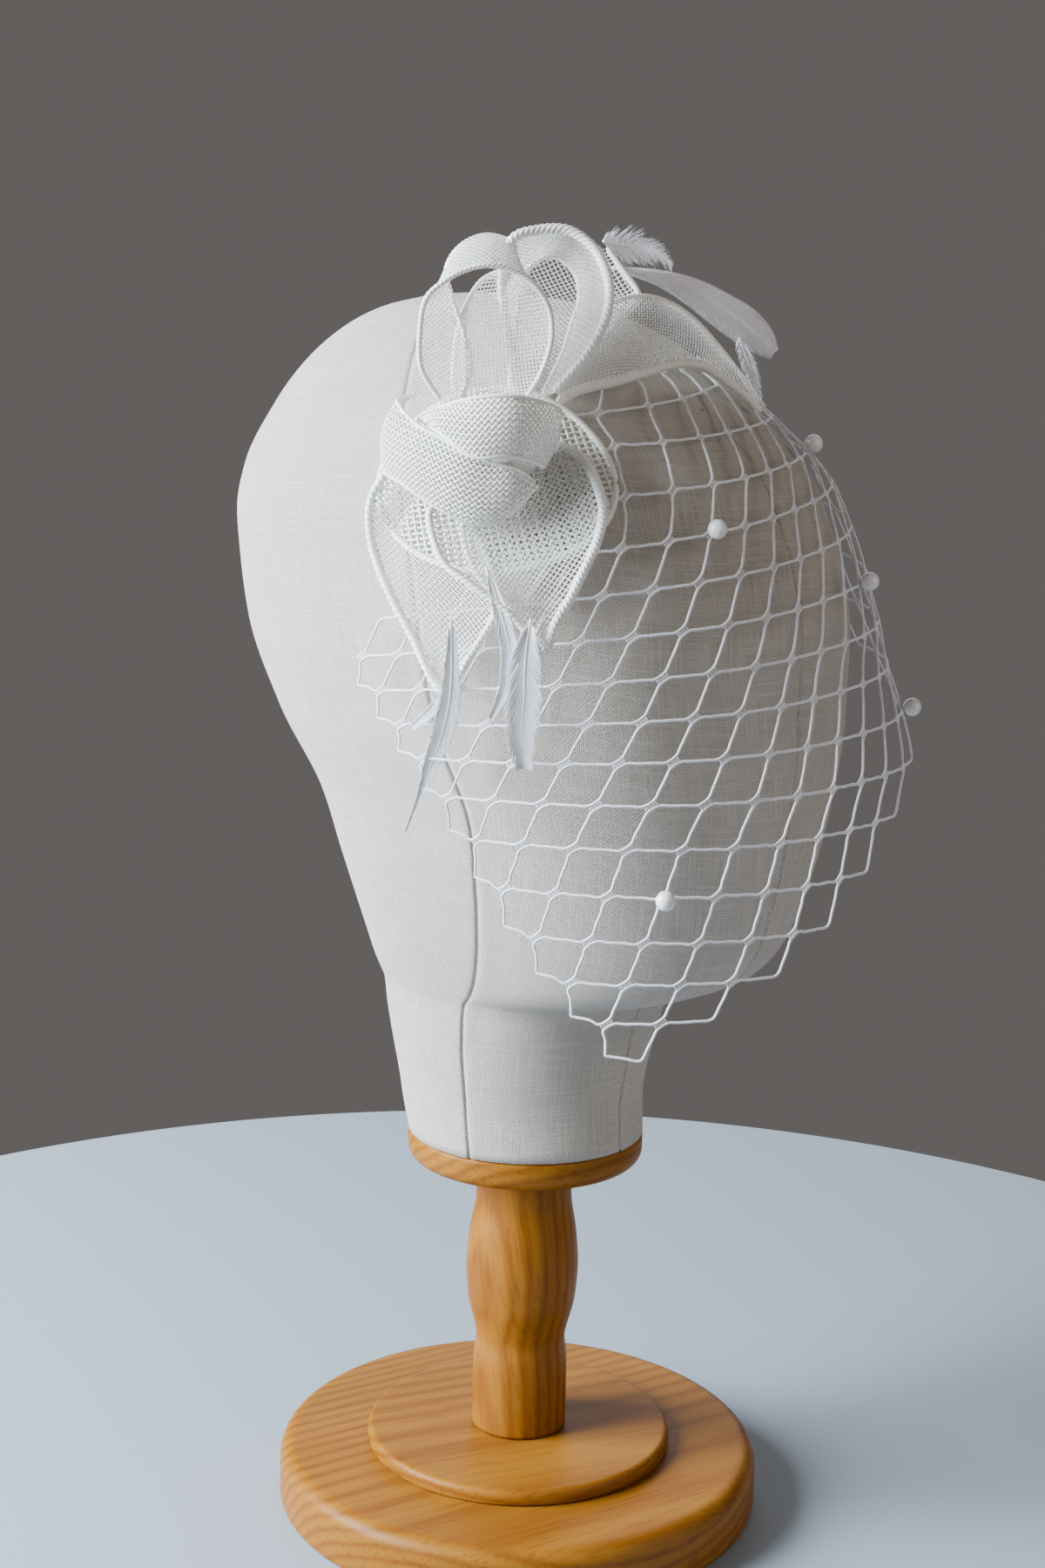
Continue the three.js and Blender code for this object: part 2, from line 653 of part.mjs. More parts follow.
const disc = { height: 200, azimuth: 62, tall: 24, wide: 23, inside: 0.7, outside: 2.7, divisions: 8 };
const discGrid = [];
for (let i = 0; i <= disc.divisions; i += 1) {
  const v = (2 * i) / disc.divisions - 1;
  discGrid.push(Array.from({ length: disc.divisions + 1 }, (_, j) => {
    const u = 1 - (2 * j) / disc.divisions;
    return overHead(
      disc.height + disc.tall * v * Math.sqrt(1 - (u * u) / 2),
      disc.azimuth + disc.wide * u * Math.sqrt(1 - (v * v) / 2),
      (disc.inside + disc.outside) / 2,
    );
  }));
}
const discHalf = (disc.outside - disc.inside) / 2;
addClear('bow_base', wall(discGrid, discHalf, discHalf), wall(discGrid, discHalf, discHalf), finish.sinamay);

export default object;
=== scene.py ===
# Birdcage veil on a display head form: diamond net with pearls, hung from a sinamay bow with
# feathers, on a linen-covered head that stands on a turned wooden post and base.
import math
import random
import bpy
import numpy as np
from mathutils import Matrix, Vector


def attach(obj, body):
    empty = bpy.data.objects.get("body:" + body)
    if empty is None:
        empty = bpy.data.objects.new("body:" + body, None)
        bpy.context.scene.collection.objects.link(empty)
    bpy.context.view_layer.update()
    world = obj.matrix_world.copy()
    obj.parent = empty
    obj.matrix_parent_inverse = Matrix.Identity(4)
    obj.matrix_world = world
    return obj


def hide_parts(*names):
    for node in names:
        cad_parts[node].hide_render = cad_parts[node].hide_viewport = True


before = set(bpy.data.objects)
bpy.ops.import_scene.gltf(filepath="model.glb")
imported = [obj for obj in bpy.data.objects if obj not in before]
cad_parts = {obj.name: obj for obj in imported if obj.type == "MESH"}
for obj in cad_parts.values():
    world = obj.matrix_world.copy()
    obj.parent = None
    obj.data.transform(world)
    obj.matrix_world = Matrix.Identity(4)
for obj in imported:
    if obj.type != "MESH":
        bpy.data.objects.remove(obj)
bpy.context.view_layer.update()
mm = 0.001

# ---------------------------------------------------------------- camera
# A 50 mm lens a little above the crown, looking slightly down at the head's right cheek.
view_turn, view_tilt, view_roll = (math.radians(a) for a in (52.0, 9.62, 1.37))
view_right = Vector((math.cos(view_turn), -math.sin(view_turn), 0))
view_ahead = Vector((math.sin(view_turn), math.cos(view_turn), 0))
view_up = view_ahead * math.sin(view_tilt) + Vector((0, 0, math.cos(view_tilt)))
lens = bpy.data.cameras.new("camera")
lens.lens = 50
lens.sensor_width = 36
lens.clip_start = 0.05
camera = bpy.data.objects.new("camera", lens)
bpy.context.scene.collection.objects.link(camera)
camera_x = view_right * math.cos(view_roll) + view_up * math.sin(view_roll)
camera_y = view_up * math.cos(view_roll) - view_right * math.sin(view_roll)
axes = Matrix((camera_x, camera_y, view_right.cross(view_up))).transposed()
camera.matrix_world = Matrix.Translation((-0.512, -0.3956, 0.3366)) @ axes.to_4x4()
bpy.context.scene.camera = camera

# ---------------------------------------------------------------- wooden stand
# A turned stand of pale varnished hardwood: a broad round base, a shallow round step glued on
# it, a baluster post, and the collar that the neck of the head sits on.


def make_piece(name, points, faces, material, slot, *nodes):
    """One mesh from points in millimetres, riding on the part and standing for its CAD nodes."""
    mesh = bpy.data.meshes.new(name)
    mesh.from_pydata((np.asarray(points) * mm).tolist(), [], faces)
    mesh.materials.append(material)
    mesh.shade_smooth()
    piece = bpy.data.objects.new(name, mesh)
    bpy.context.scene.collection.objects.link(piece)
    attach(piece, "root")
    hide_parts(*nodes)
    return piece


def new_finish(name, colour, roughness):
    """A material, its node tree and its shader, with the plain colour and roughness set."""
    material = bpy.data.materials.new(name)
    material.use_nodes = True
    shader = material.node_tree.nodes["Principled BSDF"]
    shader.inputs["Base Color"].default_value = (*colour, 1)
    shader.inputs["Roughness"].default_value = roughness
    return material, material.node_tree, shader


def add_node(tree, kind, sockets, **settings):
    """A shader node's first output, with its settings, and its sockets set or linked."""
    node = tree.nodes.new("ShaderNode" + kind)
    for key, value in settings.items():
        setattr(node, key, value)
    for key, value in sockets.items():
        if isinstance(value, bpy.types.NodeSocket):
            tree.links.new(value, node.inputs[key])
        else:
            node.inputs[key].default_value = value
    return node.outputs[0]


def shaded(tree, factor, *stops):
    """A colour ramp over a factor, with stops of (place, colour)."""
    node = tree.nodes.new("ShaderNodeValToRGB")
    tree.links.new(factor, node.inputs[0])
    marks = node.color_ramp.elements
    while len(marks) < len(stops):
        marks.new(0.5)
    for mark, (place, colour) in zip(marks, stops):
        mark.position = place
        mark.color = (*colour, 1)
    return node.outputs[0]


def blended(tree, under, over, blend="MULTIPLY", amount=1.0):
    """Two colours mixed, the second laid over the first."""
    node = tree.nodes.new("ShaderNodeMix")
    node.data_type = "RGBA"
    node.blend_type = blend
    for socket, value in ((0, amount), (6, under), (7, over)):
        if isinstance(value, bpy.types.NodeSocket):
            tree.links.new(value, node.inputs[socket])
        else:
            node.inputs[socket].default_value = value
    return node.outputs[2]


def wood_finish(name, turn, pith):
    """Varnished wood whose grain runs along X once turned; pith is how far off the heart lies."""
    material, tree, shader = new_finish(name, (0.28, 0.108, 0.01), 0.45)
    shader.inputs["Specular IOR Level"].default_value = 0.12
    place = tree.nodes.new("ShaderNodeTexCoord").outputs["Object"]
    turned = add_node(tree, "Mapping", {"Vector": place, "Rotation": turn, "Location": pith})
    drawn = add_node(tree, "Mapping", {"Vector": turned, "Scale": (0.16, 1, 1)})
    rings = tree.nodes.new("ShaderNodeTexWave")
    rings.wave_type = "RINGS"
    rings.rings_direction = "X"
    for key, value in (("Scale", 80), ("Distortion", 3.0), ("Detail", 3), ("Detail Scale", 0.7)):
        rings.inputs[key].default_value = value
    tree.links.new(drawn, rings.inputs["Vector"])
    fibre = add_node(tree, "Mapping", {"Vector": turned, "Scale": (0.05, 1, 1)})
    streak = add_node(tree, "TexNoise", {"Vector": fibre, "Scale": 900, "Detail": 4})
    cloud = add_node(tree, "TexNoise", {"Vector": drawn, "Scale": 28, "Detail": 2})
    tone = shaded(tree, rings.outputs["Fac"], (0.0, (0.31, 0.125, 0.012)),
                  (0.6, (0.28, 0.108, 0.010)), (1.0, (0.23, 0.08, 0.007)))
    light = shaded(tree, cloud, (0.3, (0.84, 0.80, 0.74)), (0.7, (1.0, 1.0, 1.0)))
    fleck = shaded(tree, streak, (0.32, (0.80, 0.72, 0.62)), (0.5, (1.0, 1.0, 1.0)))
    tree.links.new(blended(tree, blended(tree, tone, light), fleck), shader.inputs["Base Color"])
    tree.links.new(add_node(tree, "Bump", {"Height": streak, "Strength": 0.12, "Distance": 0.0004}),
                   shader.inputs["Normal"])
    shader.inputs["Coat Weight"].default_value = 0.06
    shader.inputs["Coat Roughness"].default_value = 0.3
    return material


def turned_piece(name, outline, material, node, around=144):
    """A piece turned on the lathe: outline points of [radius, height] from bottom to top."""
    outline = np.asarray(outline, float)
    angle = np.arange(around) * 2 * math.pi / around
    ring = np.stack([np.cos(angle), np.sin(angle), 0 * angle], -1)
    points = [ring * r + (0, 0, z) for r, z in outline[1:-1]]
    rows = len(points)
    faces = [[i * around + j, i * around + (j + 1) % around,
              (i + 1) * around + (j + 1) % around, (i + 1) * around + j]
             for i in range(rows - 1) for j in range(around)]
    ends = [(0, 0, outline[0, 1]), (0, 0, outline[-1, 1])]
    below, above = rows * around, rows * around + 1
    last = (rows - 1) * around
    faces += [[below, (j + 1) % around, j] for j in range(around)]
    faces += [[above, last + j, last + (j + 1) % around] for j in range(around)]
    return make_piece(name, np.concatenate(points + [np.array(ends)]), faces, material, "wood", node)


def rounded_edge(radius, edge, height, side, steps=8):
    """A quarter round from the flat to the rim: side is -1 below and 1 above."""
    turn = np.linspace(0, math.pi / 2, steps)
    out = radius - edge + edge * (np.cos(turn) if side > 0 else np.sin(turn))
    rise = edge * (np.sin(turn) - 1) if side > 0 else edge * (1 - np.cos(turn))
    return [[r, height + z] for r, z in zip(out, rise)]


def flat_to(radius, height, steps=5):
    """Points on a flat face from near its middle to the radius."""
    return [[radius * (k + 1) / steps, height] for k in range(steps)]


base_radius, base_top = 75.0, 18.0
step_radius, step_low, step_top = 47.5, 18.3, 22.8
post_low, post_top = 23.1, 110.4
collar_radius, collar_low, collar_top = 36.2, 110.7, 119.7

plank = wood_finish("varnished plank", (0, 0, 0.35), (0.01, 0.045, 0.05))
step_plank = wood_finish("varnished step", (0, 0, 0.5), (0.03, 0.028, 0.06))
turning = wood_finish("varnished turning", (0.2, math.pi / 2, 0), (0.02, 0.03, 0.045))
collar_plank = wood_finish("varnished collar", (0, 0, 0.15), (0.05, 0.06, -0.02))

turned_piece("base", [[0, 0], *flat_to(base_radius - 3.2, 0),
             *rounded_edge(base_radius, 2.5, 0, -1), *rounded_edge(base_radius, 5, base_top, 1),
             *flat_to(base_radius - 5.6, base_top)[::-1], [0, base_top]], plank, "stand_base")
turned_piece("base_step", [[0, step_low], *flat_to(step_radius - 0.8, step_low),
             *rounded_edge(step_radius, 0.4, step_low, -1, 4),
             *rounded_edge(step_radius, 2, step_top, 1),
             *flat_to(step_radius - 2.4, step_top)[::-1], [0, step_top]], step_plank, "stand_step")

# The post's profile: share of its height, and radius.
post_profile = [(0, 14.8), (0.10, 14.8), (0.22, 14.7), (0.27, 14.5), (0.33, 13.9), (0.37, 14.5),
                (0.48, 16.8), (0.60, 17.5), (0.72, 16.7), (0.86, 14.9), (0.93, 14.8), (1, 14.9)]


def smooth_column(rows, column, value):
    """One column of a table read at values of its first column, by a monotone cubic."""
    x = np.array([row[0] for row in rows], float)
    y = np.array([row[column] for row in rows], float)
    value = np.clip(np.asarray(value, float), x[0], x[-1])
    slope = np.diff(y) / np.diff(x)
    tangent = np.empty_like(y)
    tangent[0], tangent[-1] = slope[0], slope[-1]
    product = slope[:-1] * slope[1:]
    total = np.where(product > 0, slope[:-1] + slope[1:], 1)
    tangent[1:-1] = np.where(product > 0, 2 * product / total, 0)
    i = np.clip(np.searchsorted(x, value, side="right") - 1, 0, len(x) - 2)
    span = x[i + 1] - x[i]
    t = (value - x[i]) / span
    return (y[i] * (1 + 2 * t) * (1 - t) ** 2 + tangent[i] * span * t * (1 - t) ** 2
            + y[i + 1] * (3 - 2 * t) * t ** 2 + tangent[i + 1] * span * (t - 1) * t ** 2)


rises = np.linspace(0, 1, 90)
profile = np.stack([smooth_column(post_profile, 1, rises), post_low + rises * (post_top - post_low)], -1)
turned_piece("post", [[0, post_low], [7, post_low], *profile.tolist(), [7, post_top], [0, post_top]],
             turning, "stand_post", 96)
turned_piece("collar", [[0, collar_low], *flat_to(collar_radius - 4.6, collar_low),
             *rounded_edge(collar_radius, 4, collar_low, -1),
             *rounded_edge(collar_radius, 1, collar_top, 1, 4),
             *flat_to(collar_radius - 1.6, collar_top)[::-1], [0, collar_top]], collar_plank, "neck_collar")

# ---------------------------------------------------------------- linen-covered head form
# A foam head covered in unbleached linen, cut in four panels and sewn down the middle of the
# face and the back and over both sides; the face is blank.

# Level sections: height above the collar, how far the front, back and sides reach, squareness,
# and where the widest place lies.
head_rows = [
    (0, -36.2, 36.2, 36.2, 2, 0), (13, -35.5, 39.5, 37, 2, 1), (29, -37.5, 41.5, 39.5, 2.1, 1),
    (41, -40, 42.5, 41.5, 2.2, 0), (48, -44, 43, 43, 2.2, -1), (52, -60, 43.3, 45, 2.3, -2),
    (59, -74, 44.5, 48.5, 2.4, -4.5), (70, -81.5, 47.5, 53.5, 2.4, -8.5),
    (88, -86.5, 53, 60.5, 2.4, -13), (107, -89.5, 59, 66.5, 2.4, -15.25),
    (131, -91, 72.5, 74.5, 2.4, -9.25), (156, -91, 84.5, 77.5, 2.4, -3.25),
    (177, -87, 89, 77, 2.4, 1), (188, -82.5, 90, 76.5, 2.4, 3.75), (201, -76, 87.5, 74, 2.4, 5.75),
    (219, -58, 77.5, 66, 2.4, 9.75), (231, -43.5, 69, 57, 2.4, 12.75), (241, -28, 59, 45, 2.4, 15.5),
    (247, -13, 48, 34, 2.4, 17.5), (250.5, 2, 37, 20, 2.4, 19.5),
]
head_bottom, head_height, crown_y = 120.0, 252.0, 18.0


def head_section(height):
    return [smooth_column(head_rows, column, height) for column in (1, 2, 3, 4, 5)]


def section_point(section, azimuth, height):
    """Points round a level section: azimuth 0 is its front, a quarter turn its right side."""
    front, back, side, power, middle = section
    c, s = np.cos(azimuth), np.sin(azimuth)
    reach = (np.abs(c) ** power + np.abs(s) ** power) ** (-1 / power)
    half = np.where(c > 0, middle - front, back - middle)
    return np.stack([-side * reach * s, middle - half * reach * c,
                     head_bottom + height + 0 * azimuth], -1)


# Columns close up at the seams, rows close up under the jaw and at the crown.
seams = [0.0, 79.0, 180.0, -79.0]
columns = set(np.arange(-180, 180, 2.25).round(2))
for seam in seams:
    columns = {a for a in columns if abs((a - seam + 180) % 360 - 180) > 2.3}
    columns |= {(seam + offset + 180) % 360 - 180 for offset in
                (-2, -1.5, -1.1, -0.8, -0.5, -0.25, 0, 0.25, 0.5, 0.8, 1.1, 1.5, 2)}
columns = np.radians(np.array(sorted(columns)))
level = np.concatenate([np.linspace(0, 38, 16)[:-1], np.linspace(38, 58, 16)[:-1],
                        np.linspace(58, 228, 62)[:-1], 250.5 - 22.5 * np.linspace(1, 0, 16) ** 1.6])
grid_height, grid_turn = np.meshgrid(level, columns, indexing="ij")
linen_points = section_point(head_section(grid_height), grid_turn, grid_height)
# The last rows run in to the crown along a dome.
shares = np.array([0.8, 0.6, 0.4, 0.2])
crown = np.array([0, crown_y, head_bottom + head_height])
for share in shares:
    rim = linen_points[len(level) - 1]
    row = crown + (rim - crown) * share
    row[:, 2] = crown[2] - (crown[2] - rim[:, 2]) * share ** 1.7
    linen_points = np.concatenate([linen_points, row[None]])
rows, around = linen_points.shape[:2]

# The cloth's own flat places, from the middle of each panel and up from the neck, for its weave.
wrapped = np.concatenate([linen_points, linen_points[:, :1]], 1)
across = np.linalg.norm(np.diff(wrapped, axis=1), axis=2).cumsum(1)
across = np.concatenate([np.zeros((rows, 1)), across], 1)
upward = np.linalg.norm(np.diff(wrapped, axis=0), axis=2).cumsum(0)
upward = np.concatenate([np.zeros((1, around + 1)), upward], 0)

# Seams are drawn in, and the cloth puffs a little on both sides of them.
from_seam = np.min([np.abs((np.degrees(columns) - s + 180) % 360 - 180) for s in seams], 0)
radius = np.hypot(linen_points[..., 0], linen_points[..., 1] - crown_y)
from_seam_mm = np.radians(from_seam)[None] * radius
centre = np.stack([0 * radius, crown_y + 0 * radius, linen_points[..., 2]], -1)
outward = linen_points - centre
outward /= np.maximum(np.linalg.norm(outward, axis=2, keepdims=True), 1e-6)
sink = -0.75 * np.exp(-(from_seam_mm / 0.6) ** 2) + 0.18 * np.exp(-((from_seam_mm - 2.4) / 1.3) ** 2)
sink *= np.clip(radius / 20, 0, 1)
heights = linen_points[..., 2]
ripple = 0.16 * np.sin(heights / 5.3 + 2 * columns[None]) * np.exp(-(from_seam_mm / 5) ** 2)
linen_points = linen_points + outward * (sink + ripple)[..., None]

faces = [[i * around + j, i * around + (j + 1) % around,
          (i + 1) * around + (j + 1) % around, (i + 1) * around + j]
         for i in range(rows - 1) for j in range(around)]
# Azimuth grows clockwise seen from above, so the faces are turned to point out.
faces = [face[::-1] for face in faces]
under, over = rows * around, rows * around + 1
last = (rows - 1) * around
faces += [[under, j, (j + 1) % around] for j in range(around)]
faces += [[over, last + (j + 1) % around, last + j] for j in range(around)]
ends = np.array([[0, 0, head_bottom], crown])
linen_all = np.concatenate([linen_points.reshape(-1, 3), ends])

linen, tree, shader = new_finish("unbleached linen", (0.62, 0.575, 0.515), 0.92)
shader.inputs["Sheen Weight"].default_value = 0.25
shader.inputs["Sheen Roughness"].default_value = 0.6
weave_place = add_node(tree, "UVMap", {}, uv_map="weave")
wander = tree.nodes.new("ShaderNodeTexNoise")
wander.inputs["Scale"].default_value = 0.06
wander.inputs["Detail"].default_value = 2
tree.links.new(weave_place, wander.inputs["Vector"])
offset = add_node(tree, "VectorMath", {0: wander.outputs["Color"], 1: (0.5, 0.5, 0.5)}, operation="SUBTRACT")
offset = add_node(tree, "VectorMath", {0: offset, "Scale": 2.4}, operation="SCALE")
woven = add_node(tree, "VectorMath", {0: weave_place, 1: offset}, operation="ADD")
thread_pitch = 0.5
bands = []
for direction in ("X", "Y"):
    wave = tree.nodes.new("ShaderNodeTexWave")
    wave.bands_direction = direction
    wave.inputs["Scale"].default_value = math.pi / 10 / thread_pitch
    tree.links.new(woven, wave.inputs["Vector"])
    bands.append(wave.outputs["Fac"])
checker = tree.nodes.new("ShaderNodeTexChecker")
checker.inputs["Scale"].default_value = 1 / thread_pitch
tree.links.new(woven, checker.inputs["Vector"])
weave = add_node(tree, "Mix", {0: checker.outputs["Fac"], 2: bands[0], 3: bands[1]})
slubs = []
for stretch in ((0.04, 1.9, 1), (1.9, 0.04, 1)):
    along = add_node(tree, "Mapping", {"Vector": weave_place, "Scale": stretch})
    slubs.append(add_node(tree, "TexNoise", {"Vector": along, "Scale": 1.3, "Detail": 2}))
thick = add_node(tree, "Math", {0: slubs[0], 1: slubs[1]}, operation="MAXIMUM")
tone = shaded(tree, thick, (0.40, (0.47, 0.425, 0.365)), (0.58, (0.62, 0.575, 0.515)),
              (0.76, (0.73, 0.69, 0.63)))
gaps = shaded(tree, weave, (0.05, (0.62, 0.57, 0.52)), (0.55, (1.0, 1.0, 1.0)))
chaff = tree.nodes.new("ShaderNodeTexVoronoi")
chaff.inputs["Scale"].default_value = 0.045
tree.links.new(weave_place, chaff.inputs["Vector"])
specks = shaded(tree, chaff.outputs["Distance"], (0.018, (0.30, 0.19, 0.11)), (0.032, (1.0, 1.0, 1.0)))
tree.links.new(blended(tree, blended(tree, tone, gaps), specks), shader.inputs["Base Color"])
height = add_node(tree, "Math", {0: weave, 1: thick}, operation="ADD")
tree.links.new(add_node(tree, "Bump", {"Height": height, "Strength": 0.6, "Distance": 0.00035}),
               shader.inputs["Normal"])

head = make_piece("head", linen_all, faces, linen, "linen", "head_form")
weave_map = head.data.uv_layers.new(name="weave")
panel_middles = np.array([-130.0, -39.5, 39.5, 130.0])
middle_column = [int(np.argmin(np.abs(np.degrees(columns) - m))) for m in panel_middles]
places = np.zeros((len(head.data.loops), 2))
for polygon in head.data.polygons:
    at = list(polygon.vertices)
    if max(at) >= under:
        continue
    j = [v % around for v in at]
    i = [v // around for v in at]
    if max(j) - min(j) > 1:
        j = [k if k > 1 else around for k in j]
    turn = np.degrees(columns[min(j)]) + 0.01
    panel = 0 if turn < -79 else 1 if turn < 0 else 2 if turn < 79 else 3
    for loop, a, b in zip(polygon.loop_indices, i, j):
        places[loop] = across[a, b] - across[a, middle_column[panel]] + 400 * panel, upward[a, b]
weave_map.data.foreach_set("uv", places.ravel())

# ---------------------------------------------------------------- veil net
# Birdcage veiling: fine white threads that run zigzag along the piece, each pair bound together
# where they meet by a short ladder of finer thread. The piece is worn cornerwise.

# How far the net stands off the head, by height above the collar.
standoff_rows = [(18, 22), (98, 22), (119, 21), (135, 16), (152, 10), (170, 7), (198, 5.5),
                 (214, 4), (230, 1.6)]
cheek_height = 107
side_share = 0.8
# One row of knots: row, height of column 0, rise per column, azimuth of column 0, pitch.
strand_rows = [
    (-3, 50, 0.8, 57.7, 7.1), (0, 83.7, 0, 51.3, 7.4), (3, 119.5, 0.3, 43.8, 7.3),
    (6, 151.3, 1.2, 33.9, 7.7), (9, 187.3, 1.9, 23.2, 8), (11, 211.8, 1.4, 16.4, 11),
    (12, 222, 2.2, 12, 14), (13, 229, 1.2, 9, 13.5),
]
first_row, last_row = -3, 13
near_hem, far_edge, far_hem, near_edge = -1, 18, 6, -15


def over_head(height, turn, lift=0.0):
    """Points over the head at heights and true azimuths in degrees, outside what the net follows."""
    front, back, side, power, _ = head_section(np.maximum(height, cheek_height))
    off = smooth_column(standoff_rows, 1, height)
    wide, half = side + off * side_share + lift, (back - front) / 2 + off + lift
    right, ahead = np.sin(np.radians(turn)), np.cos(np.radians(turn))
    inside, outside = 0 * wide, 2 * (wide + half)
    for _ in range(24):
        reach = (inside + outside) / 2
        place = (np.abs(reach * right / wide) ** power
                 + np.abs((reach * ahead + (front + back) / 2) / half) ** power)
        inside, outside = np.where(place < 1, reach, inside), np.where(place < 1, outside, reach)
    return np.stack([-inside * right, -inside * ahead, head_bottom + height], -1)


def net_point(row, column):
    row, column = np.broadcast_arrays(np.asarray(row, float), np.asarray(column, float))
    height, tilt, turn, pitch = (smooth_column(strand_rows, k, row) for k in (1, 2, 3, 4))
    return over_head(height + tilt * column, turn - pitch * column)


def unit(vectors):
    return vectors / np.maximum(np.linalg.norm(vectors, axis=-1, keepdims=True), 1e-9)


def net_frame(row, column):
    """The net's directions at a knot: along the rails of its ladder, across them, and out."""
    here = net_point(row, column)
    right = unit(net_point(row, column + 0.5) - here)
    above = unit(net_point(row + 0.5, column) - here)
    out = unit(np.cross(right, above))
    rail = unit(right + above)
    return here, rail, np.cross(out, rail), out


class Threads:
    """Round or flat threads gathered into one mesh."""

    def __init__(self):
        self.points, self.faces, self.count = [], [], 0

    def add(self, path, facing, half_wide, half_thick, sides=6):
        path = np.asarray(path, float)
        steps = len(path)
        along = unit(np.gradient(path, axis=0))
        side = unit(np.cross(along, np.broadcast_to(facing, path.shape)))
        face = np.cross(side, along)
        turn = np.arange(sides) * 2 * math.pi / sides
        wide = np.broadcast_to(half_wide, steps)[:, None, None] * np.cos(turn)[None, :, None]
        thick = np.broadcast_to(half_thick, steps)[:, None, None] * np.sin(turn)[None, :, None]
        self.points.append((path[:, None] + side[:, None] * wide + face[:, None] * thick).reshape(-1, 3))
        i, j = np.meshgrid(np.arange(steps - 1), np.arange(sides), indexing="ij")
        k = (j + 1) % sides
        quads = np.stack([i * sides + j, (i + 1) * sides + j, (i + 1) * sides + k, i * sides + k], -1)
        self.faces += (quads.reshape(-1, 4) + self.count).tolist()
        self.faces.append(list(range(self.count, self.count + sides)))
        self.faces.append(list(range(self.count + steps * sides - 1, self.count + (steps - 1) * sides - 1, -1)))
        self.count += steps * sides

    def piece(self, name, material, slot, *nodes):
        return make_piece(name, np.concatenate(self.points), self.faces, material, slot, *nodes)


def through(points, steps):
    """A smooth centripetal curve through points, with even steps in each stretch."""
    points = np.asarray(points, float)
    padded = np.concatenate([[2 * points[0] - points[1]], points, [2 * points[-1] - points[-2]]])
    gap = np.maximum(np.linalg.norm(np.diff(padded, axis=0), axis=1) ** 0.5, 1e-4)
    t = (np.arange(steps) / steps)[:, None]
    line = []
    for k in range(len(points) - 1):
        a, b, c, d = padded[k:k + 4]
        before, here, after = gap[k:k + 3]
        start = ((b - a) / before - (c - a) / (before + here) + (c - b) / here) * here
        end = ((c - b) / here - (d - b) / (here + after) + (d - c) / after) * here
        line.append(b + start * t + (3 * (c - b) - 2 * start - end) * t ** 2
                    + (2 * (b - c) + start + end) * t ** 3)
    return np.concatenate(line + [points[-1:]])


thread_half = 0.37
rail_half, rail_gap = 1.75, 0.98
bars, bar_half = 6, 0.19


def rail_ends(row, column, side):
    """The two ends of one rail: side is 1 for the upper one, -1 for the lower."""
    here, rail, across_rail, out = net_frame(row, column)
    middle = here + across_rail * rail_gap * side
    return middle - rail * rail_half, middle, middle + rail * rail_half, out


def strand_stops(strand):
    """The places one zigzag thread runs through from the near hem up, and the way out at each."""
    stops, outs = [], []
    for u in range(near_hem, far_edge + 1):
        upper = (u - strand) % 2 == 0
        v = strand if upper else strand - 1
        row, column = (u - v) // 2, (u + v) // 2
        if row < first_row or row > last_row:
            continue
        alone = (upper and v == far_hem) or (not upper and v == near_edge)
        if alone and u in (near_hem, far_edge):
            continue
        low, mid, high, out = rail_ends(row, column, 1 if upper else -1)
        if u == near_hem:
            # The thread turns back here, a little inside the corner of the last cell.
            places = [(row + 0.18, column + 0.26)]
            places += ([(row + 0.25, column + 0.235), (row + 0.6, column + 0.11)] if upper
                       else [(row + 0.16, column + 0.33), (row + 0.09, column + 0.66)])
        elif u == far_edge:
            places = [(row - 0.18, column - 0.22)]
        else:
            stops += [net_point(row, column) * 0.75 + mid * 0.25] if alone else [low, high]
            outs += [out] if alone else [out, out]
            places = [(row + k, column) if upper else (row, column + k) for k in (0.35, 0.65)]
            if row == last_row:
                places = []
        stops += [net_point(a, b) for a, b in places]
        outs += [out] * len(places)
    return stops, outs


net = Threads()
strand = near_edge + 1
while strand <= far_hem:
    stops, outs = strand_stops(strand)
    if (near_hem - strand) % 2 == 0 and strand < far_hem:
        # This thread and the next are one, turned back at the near hem.
        strand += 1
        back_stops, back_outs = strand_stops(strand)
        stops, outs = back_stops[:0:-1] + stops, back_outs[:0:-1] + outs
    strand += 1
    if len(stops) > 2:
        net.add(through(stops, 4), unit(through(outs, 4)), thread_half, thread_half, 8)

for v in range(near_edge + 1, far_hem):
    for u in range(near_hem + 1, far_edge):
        row, column = (u - v) // 2, (u + v) // 2
        if (u - v) % 2 or row < first_row or row > last_row:
            continue
        here, rail, across_rail, out = net_frame(row, column)
        for k in range(bars):
            slide = rail * (k / (bars - 1) - 0.5) * 2 * (rail_half - 0.2)
            reach = across_rail * (rail_gap + 0.12)
            path = [here + slide + reach, here + slide + out * 0.08, here + slide - reach]
            net.add(path, out, bar_half, bar_half * 1.2, 5)

white_thread, tree, shader = new_finish("white nylon thread", (0.86, 0.86, 0.90), 0.5)
place = tree.nodes.new("ShaderNodeTexCoord").outputs["Object"]
mottle = add_node(tree, "TexNoise", {"Vector": place, "Scale": 900, "Detail": 2})
tree.links.new(shaded(tree, mottle, (0.3, (0.78, 0.78, 0.83)), (0.7, (0.92, 0.92, 0.95))),
               shader.inputs["Base Color"])
veil = net.piece("veil", white_thread, "net", "veil_net")

